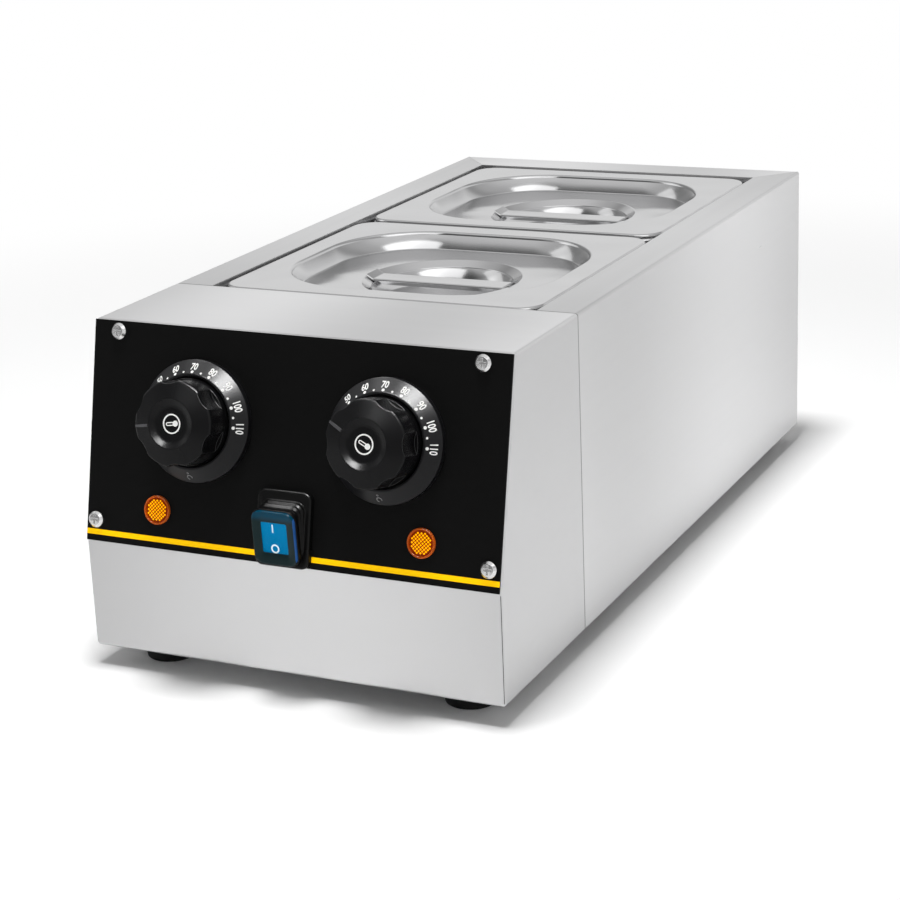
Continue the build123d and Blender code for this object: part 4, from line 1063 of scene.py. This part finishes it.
floor_reach = 6.0
floor_glow = (0.42, 1.0)        # distances between which the floor turns to plain white
sky_stops = ((0.0, 0.75), (0.16, 0.85), (0.3, 1.0), (0.42, 0.8), (0.55, 0.42),
             (0.72, 0.6), (1.0, 0.9))
# Dark parts of the surroundings: way, cosines of their inner and outer edge, and depth
dark_zones = (((-0.94, 0.34, 0.0), 0.93, 0.74, 0.65),
              ((-0.42, -0.90, 0.12), 0.96, 0.6, 0.6),
              ((-0.1, -0.8, 0.6), 0.97, 0.8, 0.6))
diffuse_share = 0.5             # of the surroundings' light that falls on dull surfaces
# Small lights for the highlights on the plastics: name, place, width, height and power
highlight_cards = (("dial_card", (0.28, -0.72, 1.42), 0.52, 0.52, 66),
                   ("bowl_card", (-0.06, -1.03, 1.17), 0.6, 0.3, 46),
                   ("ridge_card", (-0.66, 0.04, 1.39), 0.5, 0.5, 15))


def make_floor():
    """White floor that keeps the shadow and glows far off."""
    mesh = bpy.data.meshes.new("studio_floor")
    mesh.from_pydata([(-floor_reach, -floor_reach, 0), (floor_reach, -floor_reach, 0),
                      (floor_reach, floor_reach, 0), (-floor_reach, floor_reach, 0)],
                     [], [(0, 1, 2, 3)])
    floor = bpy.data.objects.new("studio_floor", mesh)
    bpy.context.scene.collection.objects.link(floor)
    paper = bpy.data.materials.new("studio_paper")
    paper.use_nodes = True
    tree = paper.node_tree
    shader = tree.nodes["Principled BSDF"]
    shader.inputs["Base Color"].default_value = (0.97, 0.97, 0.97, 1)
    shader.inputs["Roughness"].default_value = 0.9
    shader.inputs["Specular IOR Level"].default_value = 0.0
    glow = tree.nodes.new("ShaderNodeEmission")
    far = tree.nodes.new("ShaderNodeVectorMath")
    far.operation = "LENGTH"
    link(tree, tree.nodes.new("ShaderNodeTexCoord").outputs["Object"], far.inputs[0])
    blend = tree.nodes.new("ShaderNodeMixShader")
    link(tree, eased(tree, far.outputs["Value"], *floor_glow), blend.inputs[0])
    link(tree, shader.outputs[0], blend.inputs[1])
    link(tree, glow.outputs[0], blend.inputs[2])
    link(tree, blend.outputs[0], tree.nodes["Material Output"].inputs["Surface"])
    mesh.materials.append(paper)


def make_surroundings():
    """World that is plain white to the camera and graded, with dark zones, to the steel."""
    world = bpy.data.worlds.new("studio_white")
    bpy.context.scene.world = world
    world.use_nodes = True
    tree = world.node_tree
    tree.nodes.clear()
    output = tree.nodes.new("ShaderNodeOutputWorld")
    seen = tree.nodes.new("ShaderNodeBackground")
    seen.inputs["Color"].default_value = (1, 1, 1, 1)
    around = tree.nodes.new("ShaderNodeBackground")
    path = tree.nodes.new("ShaderNodeLightPath")
    mix = tree.nodes.new("ShaderNodeMixShader")
    way = tree.nodes.new("ShaderNodeTexCoord").outputs["Generated"]
    parts = tree.nodes.new("ShaderNodeSeparateXYZ")
    ramp = tree.nodes.new("ShaderNodeValToRGB")
    link(tree, way, parts.inputs[0])
    link(tree, parts.outputs["Z"], ramp.inputs["Fac"])
    ramp.color_ramp.interpolation = "EASE"
    while len(ramp.color_ramp.elements) < len(sky_stops):
        ramp.color_ramp.elements.new(0.5)
    for element, (at, value) in zip(ramp.color_ramp.elements, sky_stops):
        element.position = at
        element.color = (value, value, value, 1)
    link(tree, ramp.outputs["Color"], around.inputs["Color"])
    strength = arithmetic(tree, "MULTIPLY_ADD", path.outputs["Is Diffuse Ray"],
                          diffuse_share - 1.0, 1.0)
    for middle, inner, outer, depth in dark_zones:
        toward = length_along(tree, way, Vector(middle).normalized())
        shade = eased(tree, toward, outer, inner, low=1.0, high=1.0 - depth)
        strength = arithmetic(tree, "MULTIPLY", shade, strength)
    link(tree, strength, around.inputs["Strength"])
    link(tree, path.outputs["Is Camera Ray"], mix.inputs[0])
    link(tree, around.outputs[0], mix.inputs[1])
    link(tree, seen.outputs[0], mix.inputs[2])
    link(tree, mix.outputs[0], output.inputs["Surface"])


def glow_card(name, middle, target, width, height, power):
    """Large soft light aimed at a point."""
    light = bpy.data.lights.new(name, "AREA")
    light.shape = "RECTANGLE"
    light.size, light.size_y = width, height
    light.energy = power
    obj = bpy.data.objects.new(name, light)
    bpy.context.scene.collection.objects.link(obj)
    obj.location = middle
    obj.rotation_euler = (Vector(target) - Vector(middle)).to_track_quat("-Z", "Y").to_euler()
    return obj


def make_lights():
    """Lights over, beside and before the machine, and small ones for its plastics only."""
    top = glow_card("top_card", (0.0, -0.22, 1.9), (0, 0, 0.1), 0.38, 0.38, 28)
    top.visible_glossy = False
    plastics = bpy.data.collections.new("plastics")
    for obj in bpy.context.scene.objects:
        if obj.type == "MESH" and obj.active_material in dull_plastics:
            plastics.objects.link(obj)
    for name, middle, width, height, power in highlight_cards:
        card = glow_card(name, middle, (0, -0.21, 0.12), width, height, power)
        card.visible_diffuse = False
        card.light_linking.receiver_collection = plastics
    glow_card("left_card", (-1.8, -0.2, 1.1), (0, -0.1, 0.1), 1.2, 1.2, 3)
    front = glow_card("front_card", (0.42, -0.95, 1.5), (0, 0, 0.17), 1.9, 0.95, 7.5)
    front.visible_diffuse = False


# Camera, fitted to the casing's straight edges and to the lids in the photograph

camera_place = (0.49676, -0.86587 - middle_y * mm, 0.43219)
camera_angles = (72.125044, 2.301854, 25.176795)        # degrees about x, y and z
sensor_width = 36.0
focal_length = 89.41


def set_camera():
    camera = bpy.data.cameras.new("photo_camera")
    camera.sensor_width = sensor_width
    camera.lens = focal_length
    camera.clip_start = 0.05
    obj = bpy.data.objects.new("photo_camera", camera)
    bpy.context.scene.collection.objects.link(obj)
    obj.location = camera_place
    obj.rotation_euler = [radians(angle) for angle in camera_angles]
    bpy.context.scene.camera = obj


def build():
    dress_nodes()
    for end in pan_middle:
        make_lid(end)
        make_handle(end)
    make_panel_print()
    make_corner_lines()
    for name, side in hands.items():
        make_dial_print(name, side)
        make_knob_icon(name, side)
        make_knob_pointer(name, side)
        make_lens(name, side)
    make_switch_window()
    make_rocker_marks()
    make_switch_boot()
    make_floor()
    make_surroundings()
    make_lights()
    set_camera()
    bpy.context.scene.view_settings.view_transform = "Standard"


build()
